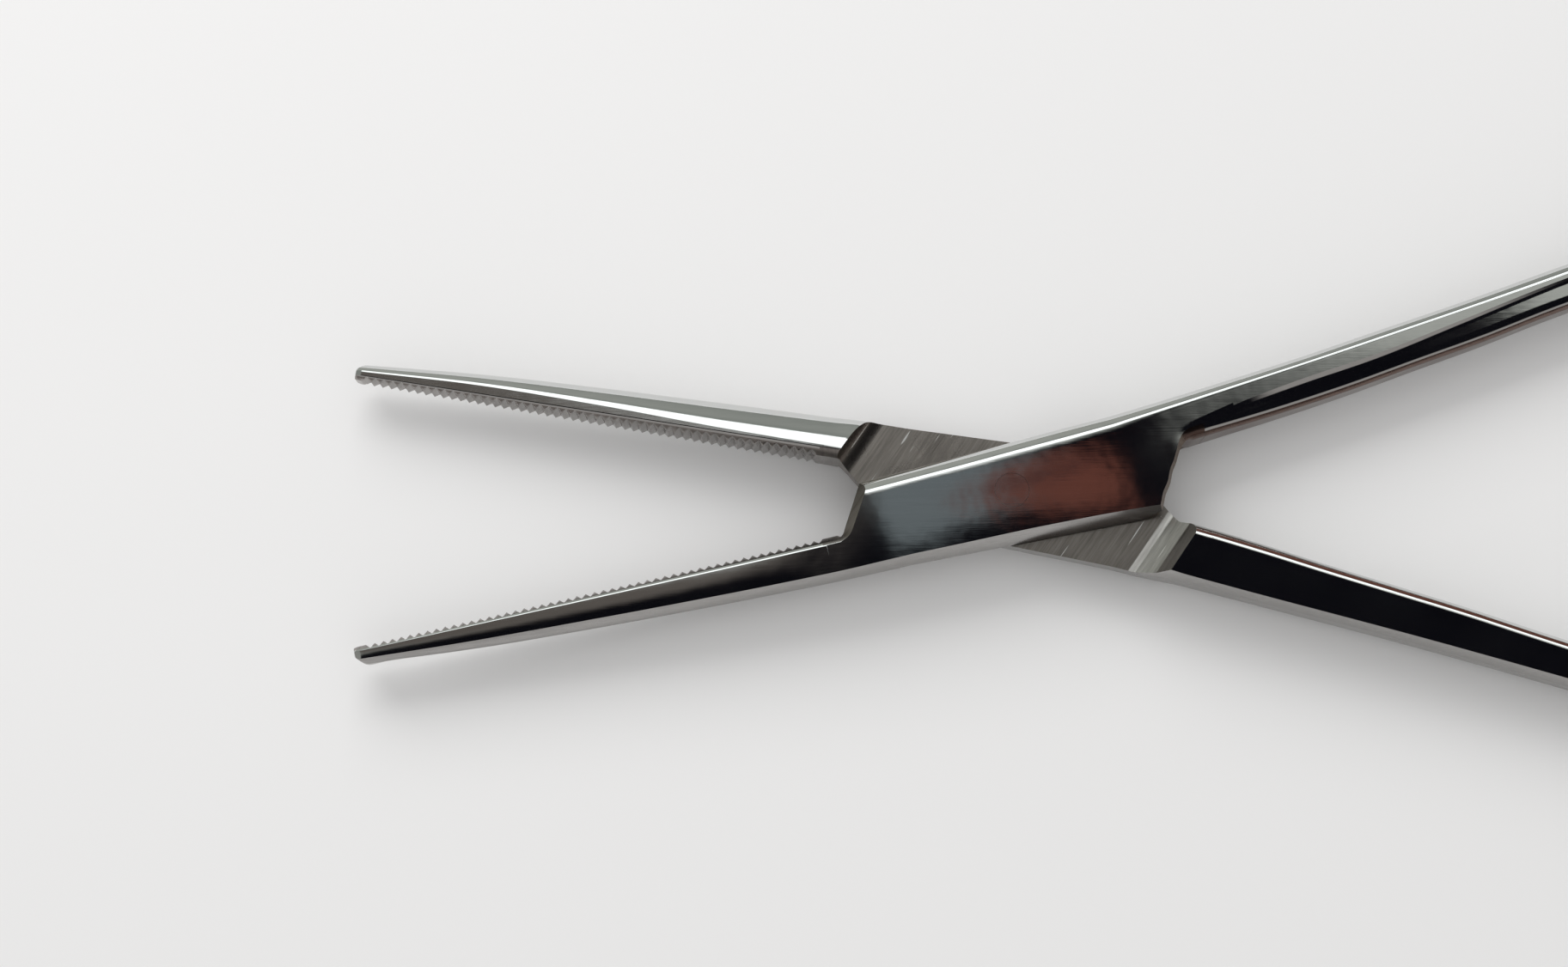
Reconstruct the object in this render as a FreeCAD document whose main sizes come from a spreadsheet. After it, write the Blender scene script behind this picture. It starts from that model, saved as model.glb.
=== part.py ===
import FreeCAD, Part
import math
import os

import Sketcher

# Straight box-lock forceps, open on its back. Lengths are in millimetres and angles in degrees.
# Each arm is drawn closed: x runs from the pivot to the rings, the jaw lies at negative x, y is 0 on the
# line where the jaws meet, and z is 0 on the mid-plane. Its placement then opens it and lifts it.
# The box arm carries its jaw below that line and its shank above it. The web arm is the other way up.

# Lock: the box arm's cheeks, the web arm's web and the pin through them.
LOCK_SIZES = [
    ("open_half_angle", 11.38),
    ("box_thickness", 5.6),
    ("box_half_width", 4.42),
    ("box_widening", 0.033),
    ("box_edge_round", 1.05),
    ("wall_reach", 12.45),
    ("wall_turn", 30.8),
    ("cheek_reach", 15.65),
    ("cheek_nose_level", 2.0),
    ("cheek_front_bevel", 0.8),
    ("cheek_undercut", 1.15),
    ("web_thickness", 1.8),
    ("slot_play", 0.08),
    ("slot_reach", 16.35),
    ("slot_slope", 35.3),
    ("web_reach", 14.4),
    ("web_slope", 40.0),
    ("web_edge_inset", 0.06),
    ("shoulder_reach", 12.45),
    ("shoulder_turn", 25.0),
    ("jaw_shoulder_slope", 41.0),
    ("shank_shoulder_slope", 50.0),
    ("pin_radius", 1.45),
    ("pin_play", 0.05),
]

# Jaw: four cross-sections from the tip to the heel inside the lock, and the teeth of the gripping face.
JAW_SIZES = [
    ("jaw_length", 57.1),
    ("jaw_relief", 0.35),
    ("tip_back", 1.85),
    ("tip_half", 1.15),
    ("tip_round", 0.9),
    ("tip_chamfer", 0.45),
    ("mid_jaw_x", 36.0),
    ("mid_jaw_back", 3.36),
    ("mid_jaw_half", 1.85),
    ("mid_jaw_round", 1.5),
    ("jaw_root_x", 16.5),
    ("jaw_root_back", 4.07),
    ("jaw_root_half", 2.55),
    ("jaw_root_round", 1.45),
    ("heel_x", 9.5),
    ("heel_inset", 0.02),
    ("grip_bevel_width", 0.55),
    ("grip_bevel_drop", 0.5),
    ("tooth_pitch", 0.76),
    ("tooth_depth", 0.38),
    ("tooth_margin", 1.1),
    ("tooth_count", 52),
]

# Shank: four more cross-sections, each with its inner edge, outer edge, half thickness and rounding.
SHANK_SIZES = [
    ("shank_heel_inner", 0.3),
    ("neck_x", 20.0),
    ("neck_inner", 1.1),
    ("neck_outer", 5.65),
    ("neck_half", 2.6),
    ("neck_round", 1.3),
    ("mid_shank_x", 48.0),
    ("mid_shank_inner", 4.4),
    ("mid_shank_outer", 8.5),
    ("mid_shank_half", 2.3),
    ("mid_shank_round", 1.25),
    ("ratchet_x", 87.0),
    ("ratchet_shank_inner", 9.3),
    ("ratchet_shank_outer", 12.9),
    ("ratchet_shank_half", 2.2),
    ("shank_end_inner", 10.9),
    ("shank_end_outer", 14.1),
    ("shank_end_round", 1.15),
    ("shank_bevel_width", 0.8),
    ("shank_bevel_drop", 0.6),
]

# Handle end: the finger rings and the two ratchet bars. The shank's end reaches into the ring by a share
# of the ring's wall.
HANDLE_SIZES = [
    ("ring_x", 108.3),
    ("ring_y", 14.2),
    ("ring_half_length", 14.6),
    ("ring_half_width", 12.6),
    ("ring_wall", 3.3),
    ("ring_thickness", 5.0),
    ("shank_share_of_wall", 0.6),
    ("ratchet_width", 6.0),
    ("ratchet_past_middle", 3.6),
    ("ratchet_bar", 1.5),
    ("ratchet_play", 0.12),
    ("ratchet_pitch", 1.5),
    ("ratchet_tooth", 0.6),
    ("ratchet_teeth", 3),
]

XY = "XY_Plane"
XZ = "XZ_Plane"
YZ = "YZ_Plane"
BOX_ARM = 1
WEB_ARM = -1
# The sides of a limb's cross-section that are arcs, and how far a quarter arc's middle stands from the
# corner of its square, as a share of the radius.
ARC_SIDES = (3, 5)
ARC_MIDDLE = math.sqrt(0.5)
FLAT_TOLERANCE = 0.01

doc = FreeCAD.newDocument("forceps")
sheet = doc.addObject("Spreadsheet::Sheet", "Sizes")


def fill_sheet(groups):
    """Write every driving dimension to the sheet, its name beside it as the cell's alias."""
    row = 0
    for group in groups:
        for name, value in group:
            row += 1
            sheet.set(f"A{row}", name)
            sheet.set(f"B{row}", str(value))
            sheet.setAlias(f"B{row}", name)
    doc.recompute()


def size(name):
    """A driving dimension's present value."""
    return float(sheet.get(name))


def cell(name):
    """How an expression names a driving dimension."""
    return f"Sizes.{name}"


def cells(*names):
    return [cell(name) for name in names]


def signed(side, expression):
    """The expression as it is on the box arm, or with its sign turned on the web arm."""
    return f"({expression})" if side == BOX_ARM else f"-({expression})"


def value_of(expression):
    """An expression's present value, used only to start a sketch near its solution."""
    scratch = doc.addObject("App::FeaturePython", "Scratch")
    scratch.addProperty("App::PropertyFloat", "Amount")
    scratch.setExpression("Amount", expression)
    scratch.recompute()
    amount = scratch.Amount
    doc.removeObject(scratch.Name)
    return amount


def sketch_on(body, name, role, offset=None):
    """An empty sketch on one of the body's origin planes, moved along its normal by an expression."""
    plane = [item for item in body.Origin.OriginFeatures if item.Role == role][0]
    sketch = body.newObject("Sketcher::SketchObject", name)
    sketch.AttachmentSupport = [(plane, "")]
    sketch.MapMode = "FlatFace"
    if offset:
        sketch.setExpression("AttachmentOffset.Base.z", offset)
    return sketch


def add_line(sketch, start, end):
    first = FreeCAD.Vector(start[0], start[1], 0)
    last = FreeCAD.Vector(end[0], end[1], 0)
    return sketch.addGeometry(Part.LineSegment(first, last), False)


def pin_point(sketch, geometry, vertex, expressions):
    """Hold one vertex of a sketch at a place given by two expressions."""
    for kind, expression in zip(("DistanceX", "DistanceY"), expressions):
        start = value_of(expression)
        index = sketch.addConstraint(Sketcher.Constraint(kind, -1, 1, geometry, vertex, start))
        sketch.setExpression(f"Constraints[{index}]", expression)


def polygon(body, name, role, corners, offset=None):
    """A closed sketch of straight edges with a pair of expressions for each corner."""
    sketch = sketch_on(body, name, role, offset)
    places = [(value_of(across), value_of(up)) for across, up in corners]
    lines = [add_line(sketch, places[i], places[(i + 1) % len(places)]) for i in range(len(places))]
    for i, line in enumerate(lines):
        sketch.addConstraint(Sketcher.Constraint("Coincident", line, 2, lines[(i + 1) % len(lines)], 1))
        pin_point(sketch, line, 1, corners[i])
    return sketch


def limb_section(body, name, side, station, inner, outer, half, rounding, bevel):
    """A limb's cross-section at one station along x: a flat inner face with a bevel along each edge,
    two flat sides, and a back whose corners are arcs. Inner and outer are distances from the middle line
    towards the half that the limb lies in, and bevel is its width and its drop."""
    width, drop = bevel
    inner_y = signed(side, inner)
    outer_y = signed(side, outer)
    bevel_y = signed(side, f"({inner}) + {drop}")
    arc_y = signed(side, f"({outer}) - {rounding}")
    sketch = sketch_on(body, name, YZ, station)
    corners = [
        (inner_y, f"-({half} - {width})"),
        (inner_y, f"{half} - {width}"),
        (bevel_y, half),
        (arc_y, half),
        (outer_y, f"{half} - {rounding}"),
        (outer_y, f"-({half} - {rounding})"),
        (arc_y, f"-({half})"),
        (bevel_y, f"-({half})"),
    ]
    places = [(value_of(across), value_of(up)) for across, up in corners]
    centre_y = value_of(arc_y)
    radius = value_of(rounding)
    bulge = radius * ARC_MIDDLE * (1 if value_of(outer_y) > centre_y else -1)
    edges = []
    for i in range(len(corners)):
        start = places[i]
        end = places[(i + 1) % len(places)]
        if i in ARC_SIDES:
            above = 1 if i == ARC_SIDES[0] else -1
            crown_z = above * (value_of(half) - radius + radius * ARC_MIDDLE)
            crown = FreeCAD.Vector(centre_y + bulge, crown_z, 0)
            arc = Part.Arc(FreeCAD.Vector(start[0], start[1], 0), crown, FreeCAD.Vector(end[0], end[1], 0))
            edges.append(sketch.addGeometry(arc, False))
        else:
            edges.append(add_line(sketch, start, end))
    for i in range(len(corners)):
        if i not in ARC_SIDES:
            pin_point(sketch, edges[i], 1, corners[i])
            pin_point(sketch, edges[i], 2, corners[(i + 1) % len(corners)])
    for arc in ARC_SIDES:
        join_arc(sketch, edges[arc], edges[arc - 1], edges[arc + 1])
        index = sketch.addConstraint(Sketcher.Constraint("Radius", edges[arc], radius))
        sketch.setExpression(f"Constraints[{index}]", rounding)
    return sketch


def join_arc(sketch, arc, line_before, line_after):
    """Close an arc onto the ends of the lines at both of its sides, whichever way round it was stored."""
    end_before = sketch.getPoint(line_before, 2)
    at_start = (sketch.getPoint(arc, 1) - end_before).Length < (sketch.getPoint(arc, 2) - end_before).Length
    first, last = (1, 2) if at_start else (2, 1)
    sketch.addConstraint(Sketcher.Constraint("Coincident", arc, first, line_before, 2))
    sketch.addConstraint(Sketcher.Constraint("Coincident", arc, last, line_after, 1))


def box_edge(x):
    """How far the lock's long edges stand from the middle line at x: it widens towards the rings."""
    return f"{cell('box_half_width')} + {cell('box_widening')} * ({x})"


def loft(body, name, sections, ruled=False):
    feature = body.newObject("PartDesign::AdditiveLoft", name)
    feature.Profile = sections[0]
    feature.Sections = sections[1:]
    feature.Ruled = ruled
    doc.recompute()
    return feature


def add_jaw(body, side):
    """The jaw tapers from the lock to a blunt tip: flat on the gripping side and rounded on the back."""
    bevel = (cell("grip_bevel_width"), cell("grip_bevel_drop"))
    relief = cell("jaw_relief")
    heel = cell("heel_x")
    inset = cell("heel_inset")
    stations = [
        ("tip", f"-{cell('jaw_length')}", *cells("tip_back", "tip_half", "tip_round")),
        ("mid", f"-{cell('mid_jaw_x')}", *cells("mid_jaw_back", "mid_jaw_half", "mid_jaw_round")),
        ("root", f"-{cell('jaw_root_x')}", *cells("jaw_root_back", "jaw_root_half", "jaw_root_round")),
        ("heel", f"-{heel}", f"{box_edge('-' + heel)} - {inset}",
         f"{cell('box_thickness')} / 2 - {inset}", cell("box_edge_round")),
    ]
    sections = []
    for name, station, back, half, rounding in stations:
        section = limb_section(body, f"jaw_{name}", -side, station, relief, back, half, rounding, bevel)
        sections.append(section)
    loft(body, "jaw", sections)


def add_shank(body, side):
    """The shank runs from inside the lock to the ring, bevelled inside and rounded outside."""
    bevel = (cell("shank_bevel_width"), cell("shank_bevel_drop"))
    heel = cell("heel_x")
    inset = cell("heel_inset")
    into_ring = f"{cell('shank_share_of_wall')} * {cell('ring_wall')}"
    end_x = f"{cell('ring_x')} - {cell('ring_half_length')} + {into_ring}"
    stations = [
        ("heel", heel, cell("shank_heel_inner"), f"{box_edge(heel)} - {inset}",
         f"{cell('box_thickness')} / 2 - {inset}", cell("box_edge_round")),
        ("neck", *cells("neck_x", "neck_inner", "neck_outer", "neck_half", "neck_round")),
        ("middle", *cells("mid_shank_x", "mid_shank_inner", "mid_shank_outer", "mid_shank_half",
                          "mid_shank_round")),
        ("ratchet", *cells("ratchet_x", "ratchet_shank_inner", "ratchet_shank_outer",
                           "ratchet_shank_half", "shank_end_round")),
        ("end", end_x, *cells("shank_end_inner", "shank_end_outer", "ratchet_shank_half",
                              "shank_end_round")),
    ]
    sections = []
    for name, station, inner, outer, half, rounding in stations:
        section = limb_section(body, f"shank_{name}", side, station, inner, outer, half, rounding, bevel)
        sections.append(section)
    loft(body, "shank", sections)


def add_ring(body, side):
    """An oval finger ring: an elliptical section swept round an elliptical path."""
    wall = cell("ring_wall")
    path = sketch_on(body, "ring_path", XY)
    centre_y = signed(side, cell("ring_y"))
    add_ellipse(path, (cell("ring_x"), centre_y),
                f"{cell('ring_half_length')} - {wall} / 2", f"{cell('ring_half_width')} - {wall} / 2")
    section = sketch_on(body, "ring_section", XZ, signed(-side, cell("ring_y")))
    add_ellipse(section, (f"{cell('ring_x')} + {cell('ring_half_length')} - {wall} / 2", "0"),
                f"{cell('ring_thickness')} / 2", f"{wall} / 2", upright=True)
    doc.recompute()
    ring = body.newObject("PartDesign::AdditivePipe", "ring")
    ring.Profile = section
    ring.Spine = (path, ["Edge1"])
    doc.recompute()


def add_ellipse(sketch, centre, major, minor, upright=False):
    """An ellipse held at its centre, its long radius along x, or along y where it is upright."""
    at = FreeCAD.Vector(value_of(centre[0]), value_of(centre[1]), 0)
    long_way = FreeCAD.Vector(0, value_of(major), 0) if upright else FreeCAD.Vector(value_of(major), 0, 0)
    short_way = FreeCAD.Vector(-value_of(minor), 0, 0) if upright else FreeCAD.Vector(0, value_of(minor), 0)
    ellipse = sketch.addGeometry(Part.Ellipse(at + long_way, at + short_way, at), False)
    sketch.exposeInternalGeometry(ellipse)
    long_axis = ellipse + 1
    short_axis = ellipse + 2
    pin_point(sketch, ellipse, 3, centre)
    sketch.addConstraint(Sketcher.Constraint("Vertical" if upright else "Horizontal", long_axis))
    for axis, radius in ((long_axis, major), (short_axis, minor)):
        index = sketch.addConstraint(Sketcher.Constraint("Distance", axis, 2 * value_of(radius)))
        sketch.setExpression(f"Constraints[{index}]", f"2 * ({radius})")


def add_ratchet(body, side):
    """A bar that reaches across the middle line. The box arm's passes over the web arm's, and the saw
    teeth near the ends of both face each other across the mid-plane."""
    crest = f"{cell('ratchet_play')} / 2"
    root = f"{crest} + {cell('ratchet_tooth')}"
    top = f"{root} + {cell('ratchet_bar')}"
    end = f"-{cell('ratchet_past_middle')}"
    inside = f"{cell('ratchet_shank_inner')} + {cell('ratchet_bar')}"
    corners = [(inside, top), (end, top)]
    for tooth in range(round(size("ratchet_teeth"))):
        corners.append((f"{end} + {tooth} * {cell('ratchet_pitch')}", crest))
        corners.append((f"{end} + {tooth + 1} * {cell('ratchet_pitch')}", root))
    corners.append((inside, root))
    placed = [(signed(side, across), signed(side, up)) for across, up in corners]
    start = f"{cell('ratchet_x')} - {cell('ratchet_width')} / 2"
    profile = polygon(body, "ratchet_profile", YZ, placed, start)
    bar = body.newObject("PartDesign::Pad", "ratchet")
    bar.Profile = profile
    bar.setExpression("Length", cell("ratchet_width"))
    doc.recompute()


def cut(body, name, profile):
    """Cut a sketch's outline through the whole piece, both ways from the sketch."""
    volume = body.Shape.Volume
    pocket = body.newObject("PartDesign::Pocket", name)
    pocket.Profile = profile
    pocket.SideType = "Symmetric"
    pocket.Type = "ThroughAll"
    doc.recompute()
    if body.Shape.Volume >= volume:
        raise RuntimeError(f"{body.Label}: {name} cuts nothing")
    return pocket


def add_teeth(body, side, first):
    """Cross-cut the gripping face with one V groove, repeated along the jaw at the tooth pitch. The bevels
    along the face's edges fall away below the grooves, so that each one runs out before the side."""
    pitch = cell("tooth_pitch")
    face = cell("jaw_relief")
    floor = f"{face} + {cell('tooth_depth')}"
    mouth = f"{face} - {cell('tooth_depth')}"
    spread = f"{pitch} / 2"
    corners = [
        (f"{first} - {spread}", signed(-side, face)),
        (first, signed(-side, floor)),
        (f"{first} + {spread}", signed(-side, face)),
        (f"{first} + {spread}", signed(-side, mouth)),
        (f"{first} - {spread}", signed(-side, mouth)),
    ]
    groove = cut(body, "groove", polygon(body, "groove_outline", XY, corners))
    teeth = body.newObject("PartDesign::LinearPattern", "teeth")
    teeth.Originals = [groove]
    axis = [item for item in body.Origin.OriginFeatures if item.Role == "X_Axis"][0]
    teeth.Direction = (axis, [""])
    teeth.setExpression("Length", f"{pitch} * ({cell('tooth_count')} - 1)")
    teeth.setExpression("Occurrences", cell("tooth_count"))
    body.Tip = teeth
    doc.recompute()


def slanted_band(body, name, reach, slope, edge_low, edge_high):
    """A plan between two parallel slants, one below the jaw side and one above the shank side. The edges
    are functions of x that give how far the plan reaches below and above the middle line."""
    lean = f"{cell('box_half_width')} / tan({slope})"
    wide = f"({reach} + {lean})"
    narrow = f"({reach} - {lean})"
    corners = [
        (f"-{wide}", edge_high(f"-{wide}")),
        (f"-{narrow}", f"-({edge_low('-' + narrow)})"),
        (wide, f"-({edge_low(wide)})"),
        (narrow, edge_high(narrow)),
    ]
    return polygon(body, name, XY, corners)


def turned_profile(body, name, corners, turn):
    """A closed sketch that stands upright across the lock, turned about the pivot so that its first axis
    points towards the rings and the web arm's shank by the angle that turn names."""
    sketch = polygon(body, name, XZ, corners)
    turned = FreeCAD.Rotation(FreeCAD.Vector(0, -1, 0), size(turn))
    sketch.AttachmentOffset = FreeCAD.Placement(FreeCAD.Vector(0, 0, 0), turned)
    sketch.setExpression("AttachmentOffset.Rotation.Angle", cell(turn))
    return sketch


def add_box(body):
    """The box that the slot will split into two cheeks, with rounded long edges."""
    plan = slanted_band(body, "box_plan", cell("cheek_reach"), cell("slot_slope"), box_edge, box_edge)
    box = body.newObject("PartDesign::Pad", "box")
    box.Profile = plan
    box.SideType = "Symmetric"
    box.setExpression("Length", cell("box_thickness"))
    doc.recompute()
    edges = long_edges(body.Shape)
    rounding = body.newObject("PartDesign::Fillet", "box_edges")
    rounding.Base = (box, edges)
    rounding.setExpression("Radius", cell("box_edge_round"))
    doc.recompute()
    for end in (-1, 1):
        trim_cheeks(body, end)


def trim_cheeks(body, end):
    """Shape the cheeks' walls at the jaw, -1, or at the shank, 1. Each is a blunt nose: bevelled towards
    the outside, and undercut towards the slot so that the web arm's shoulder fits under it."""
    wall = cell("wall_reach")
    front = f"{cell('box_thickness')} / 2"
    nose = cell("cheek_nose_level")
    slot = f"{cell('web_thickness')} / 2 + {cell('slot_play')}"
    top = cell("box_thickness")
    far = f"{wall} + {cell('cheek_reach')}"
    bevel_run = f"{cell('cheek_front_bevel')} * ({top} - {nose}) / ({front} - {nose})"
    half = [
        (far, top),
        (f"{wall} - {bevel_run}", top),
        (wall, nose),
        (f"{wall} - {cell('cheek_undercut')}", slot),
    ]
    below = [(across, f"-({up})") for across, up in reversed(half)]
    corners = [(f"{end} * ({across})", up) for across, up in half + below]
    name = "shank_wall" if end > 0 else "jaw_wall"
    cut(body, name, turned_profile(body, f"{name}_profile", corners, "wall_turn"))


def long_edges(shape):
    """The four edges where the lock's front and back meet its long sides."""
    names = []
    for number, edge in enumerate(shape.Edges, 1):
        box = edge.BoundBox
        if box.ZLength < FLAT_TOLERANCE and box.YLength < size("box_half_width"):
            names.append(f"Edge{number}")
    return names


def cut_slot(body):
    """The slot that the web passes through. It ends on two slants, and is open between them."""
    def beyond(x):
        return f"{box_edge(x)} + {cell('box_thickness')}"

    slot = slanted_band(body, "slot_plan", cell("slot_reach"), cell("slot_slope"), beyond, beyond)
    volume = body.Shape.Volume
    pocket = body.newObject("PartDesign::Pocket", "slot")
    pocket.Profile = slot
    pocket.SideType = "Symmetric"
    pocket.setExpression("Length", f"{cell('web_thickness')} + 2 * {cell('slot_play')}")
    doc.recompute()
    if body.Shape.Volume >= volume:
        raise RuntimeError("the slot cuts nothing")


def cut_bore(body, radius):
    """The round hole through the lock, centred on the pivot."""
    sketch = sketch_on(body, "bore_circle", XY)
    add_circle(sketch, radius)
    cut(body, "bore", sketch)


def add_circle(sketch, radius):
    circle = Part.Circle(FreeCAD.Vector(0, 0, 0), FreeCAD.Vector(0, 0, 1), value_of(radius))
    index = sketch.addGeometry(circle, False)
    sketch.addConstraint(Sketcher.Constraint("Coincident", index, 3, -1, 1))
    constraint = sketch.addConstraint(Sketcher.Constraint("Radius", index, value_of(radius)))
    sketch.setExpression(f"Constraints[{constraint}]", radius)


def web_corner(end):
    """Where the web's slanted end at the jaw, -1, or at the shank, 1, meets its long edge, which lies a
    little inside the lock's. The height solves the two straight lines for the point that they share."""
    reach = cell("web_reach")
    rise = f"tan({cell('web_slope')})"
    widening = f"{end} * {cell('box_widening')}"
    long_edge = f"{cell('box_half_width')} - {cell('web_edge_inset')}"
    height = f"(({long_edge} + ({widening}) * {reach}) / (1 + ({widening}) / {rise}))"
    return f"{end} * ({reach} - {height} / {rise})", f"{end} * {height}"


def add_web(body):
    """The thin web between the web arm's jaw and shank. Its slanted edges face the slot's two ends, and
    its other corners lie inside the two limbs."""
    inset = cell("web_edge_inset")
    relief = cell("jaw_relief")
    root_x = f"({cell('web_reach')} + {relief} / tan({cell('web_slope')}))"
    buried_x = f"({root_x} + {relief})"
    buried_y = f"2 * {relief}"
    heel = cell("heel_x")
    corners = [
        (f"-{buried_x}", buried_y),
        (f"-{root_x}", relief),
        web_corner(-1),
        (heel, f"-({box_edge(heel)} - {inset})"),
        (buried_x, f"-{buried_y}"),
        (root_x, f"-{relief}"),
        web_corner(1),
        (f"-{heel}", f"{box_edge('-' + heel)} - {inset}"),
    ]
    plan = polygon(body, "web_plan", XY, corners)
    web = body.newObject("PartDesign::Pad", "web")
    web.Profile = plan
    web.SideType = "Symmetric"
    web.setExpression("Length", cell("web_thickness"))
    doc.recompute()


def cut_recess(body, face):
    """Grind the lock down to the web on one face, between a shoulder at the jaw and one at the shank.
    Both shoulders lean outwards, so that they clear the undercut ends of the cheeks."""
    level = f"{cell('web_thickness')} / 2"
    top = cell("box_thickness")
    rise = f"({top} - {level})"
    foot = cell("shoulder_reach")
    jaw_top = f"-({foot} + {rise} * tan({cell('jaw_shoulder_slope')}))"
    shank_top = f"{foot} + {rise} * tan({cell('shank_shoulder_slope')})"
    corners = [
        (f"-{foot}", signed(face, level)),
        (foot, signed(face, level)),
        (shank_top, signed(face, top)),
        (jaw_top, signed(face, top)),
    ]
    name = "front_recess" if face > 0 else "back_recess"
    cut(body, name, turned_profile(body, f"{name}_profile", corners, "shoulder_turn"))


def open_arm(body, side):
    """Swing an arm out from the middle line by half the opening, and lift it onto its underside."""
    body.Placement = FreeCAD.Placement(
        FreeCAD.Vector(0, 0, size("box_thickness") / 2),
        FreeCAD.Rotation(FreeCAD.Vector(0, 0, side), size("open_half_angle")))
    body.setExpression("Placement.Rotation.Angle", cell("open_half_angle"))
    body.setExpression("Placement.Base.z", f"{cell('box_thickness')} / 2")


def cut_tip_corner(body, side):
    """Slope the blunt tip's corner off towards the back of the jaw. The triangle starts a chamfer's width
    outside the corner, so its legs are three times that long."""
    chamfer = cell("tip_chamfer")
    leg = f"3 * {chamfer}"
    past = f"{cell('jaw_length')} + {chamfer}"
    outside = f"{cell('tip_back')} + {chamfer}"
    corners = [
        (f"-({past})", signed(-side, outside)),
        (f"-({past})", signed(-side, f"{outside} - {leg}")),
        (f"-({past} - {leg})", signed(-side, outside)),
    ]
    cut(body, "tip_corner", polygon(body, "tip_corner_outline", XY, corners))


def new_body(label):
    body = doc.addObject("PartDesign::Body", label)
    body.Label = label
    return body


def make_box_arm():
    """Lower jaw, slotted box, upper shank, ratchet bar and finger ring in one forging."""
    body = new_body("box_arm")
    add_box(body)
    add_jaw(body, BOX_ARM)
    add_shank(body, BOX_ARM)
    cut_slot(body)
    cut_bore(body, cell("pin_radius"))
    first = f"-({cell('jaw_length')} - {cell('tooth_margin')} - {cell('tooth_pitch')} / 2)"
    add_teeth(body, BOX_ARM, first)
    cut_tip_corner(body, BOX_ARM)
    add_ratchet(body, BOX_ARM)
    add_ring(body, BOX_ARM)
    open_arm(body, BOX_ARM)
    return body


def make_web_arm():
    """Upper jaw, ground web, lower shank, ratchet bar and finger ring in one forging."""
    body = new_body("web_arm")
    add_web(body)
    add_jaw(body, WEB_ARM)
    add_shank(body, WEB_ARM)
    for face in (1, -1):
        cut_recess(body, face)
    cut_bore(body, f"{cell('pin_radius')} + {cell('pin_play')}")
    first = f"-({cell('jaw_length')} - {cell('tooth_margin')})"
    add_teeth(body, WEB_ARM, first)
    cut_tip_corner(body, WEB_ARM)
    add_ratchet(body, WEB_ARM)
    add_ring(body, WEB_ARM)
    open_arm(body, WEB_ARM)
    return body


def make_lock_pin():
    """The rivet pin, ground flush with both cheeks."""
    body = new_body("lock_pin")
    sketch = sketch_on(body, "pin_circle", XY)
    add_circle(sketch, cell("pin_radius"))
    pin = body.newObject("PartDesign::Pad", "pin")
    pin.Profile = sketch
    pin.SideType = "Symmetric"
    pin.setExpression("Length", cell("box_thickness"))
    open_arm(body, BOX_ARM)
    doc.recompute()
    return body


def check_model(bodies):
    """Stop before anything is written if a feature failed or a piece is not one sound solid."""
    for item in doc.Objects:
        if "Invalid" in item.State or "Error" in item.State:
            raise RuntimeError(f"{item.Label}: {item.State}")
    for body in bodies:
        if body.Shape.isNull() or not body.Shape.isValid():
            raise RuntimeError(f"{body.Label}: no valid shape")
        if len(body.Shape.Solids) != 1:
            raise RuntimeError(f"{body.Label}: {len(body.Shape.Solids)} solids")


def main():
    fill_sheet([LOCK_SIZES, JAW_SIZES, SHANK_SIZES, HANDLE_SIZES])
    bodies = [make_box_arm(), make_web_arm(), make_lock_pin()]
    doc.recompute()
    check_model(bodies)
    os.makedirs("parts", exist_ok=True)
    for body in bodies:
        body.Shape.exportStep(f"parts/{body.Label}.step")
        print(body.Label, round(body.Shape.Volume, 1), len(body.Shape.Faces), body.Shape.BoundBox)


main()
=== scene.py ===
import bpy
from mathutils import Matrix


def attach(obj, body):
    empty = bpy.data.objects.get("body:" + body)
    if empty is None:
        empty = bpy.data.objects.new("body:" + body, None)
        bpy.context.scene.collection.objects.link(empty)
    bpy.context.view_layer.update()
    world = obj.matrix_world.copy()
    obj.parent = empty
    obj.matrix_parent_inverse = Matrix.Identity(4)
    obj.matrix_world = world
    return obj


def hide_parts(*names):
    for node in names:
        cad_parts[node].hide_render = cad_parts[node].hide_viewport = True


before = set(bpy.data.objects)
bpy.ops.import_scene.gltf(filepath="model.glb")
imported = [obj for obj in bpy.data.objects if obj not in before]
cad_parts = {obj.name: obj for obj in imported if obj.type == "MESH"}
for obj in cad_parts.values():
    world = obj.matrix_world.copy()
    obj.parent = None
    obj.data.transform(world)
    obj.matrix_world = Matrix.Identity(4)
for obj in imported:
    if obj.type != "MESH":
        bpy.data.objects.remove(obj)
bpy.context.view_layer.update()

import math

import bmesh
import bpy
from mathutils import Matrix, Vector

# Straight box-lock forceps of polished steel, open on a pale surface.
# Lengths are in millimetres until a mesh is finished, and angles in degrees. Each arm is built closed, in
# its own frame: x runs from the pivot to the rings, the jaw is at negative x, w is the distance outwards
# from the middle line where the jaws meet, and z is 0 on the mid-plane.
MM = 0.001
BOX_ARM = 1
WEB_ARM = -1
OPEN_HALF_ANGLE = 11.38

# Lock
BOX_HALF = 2.8
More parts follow.
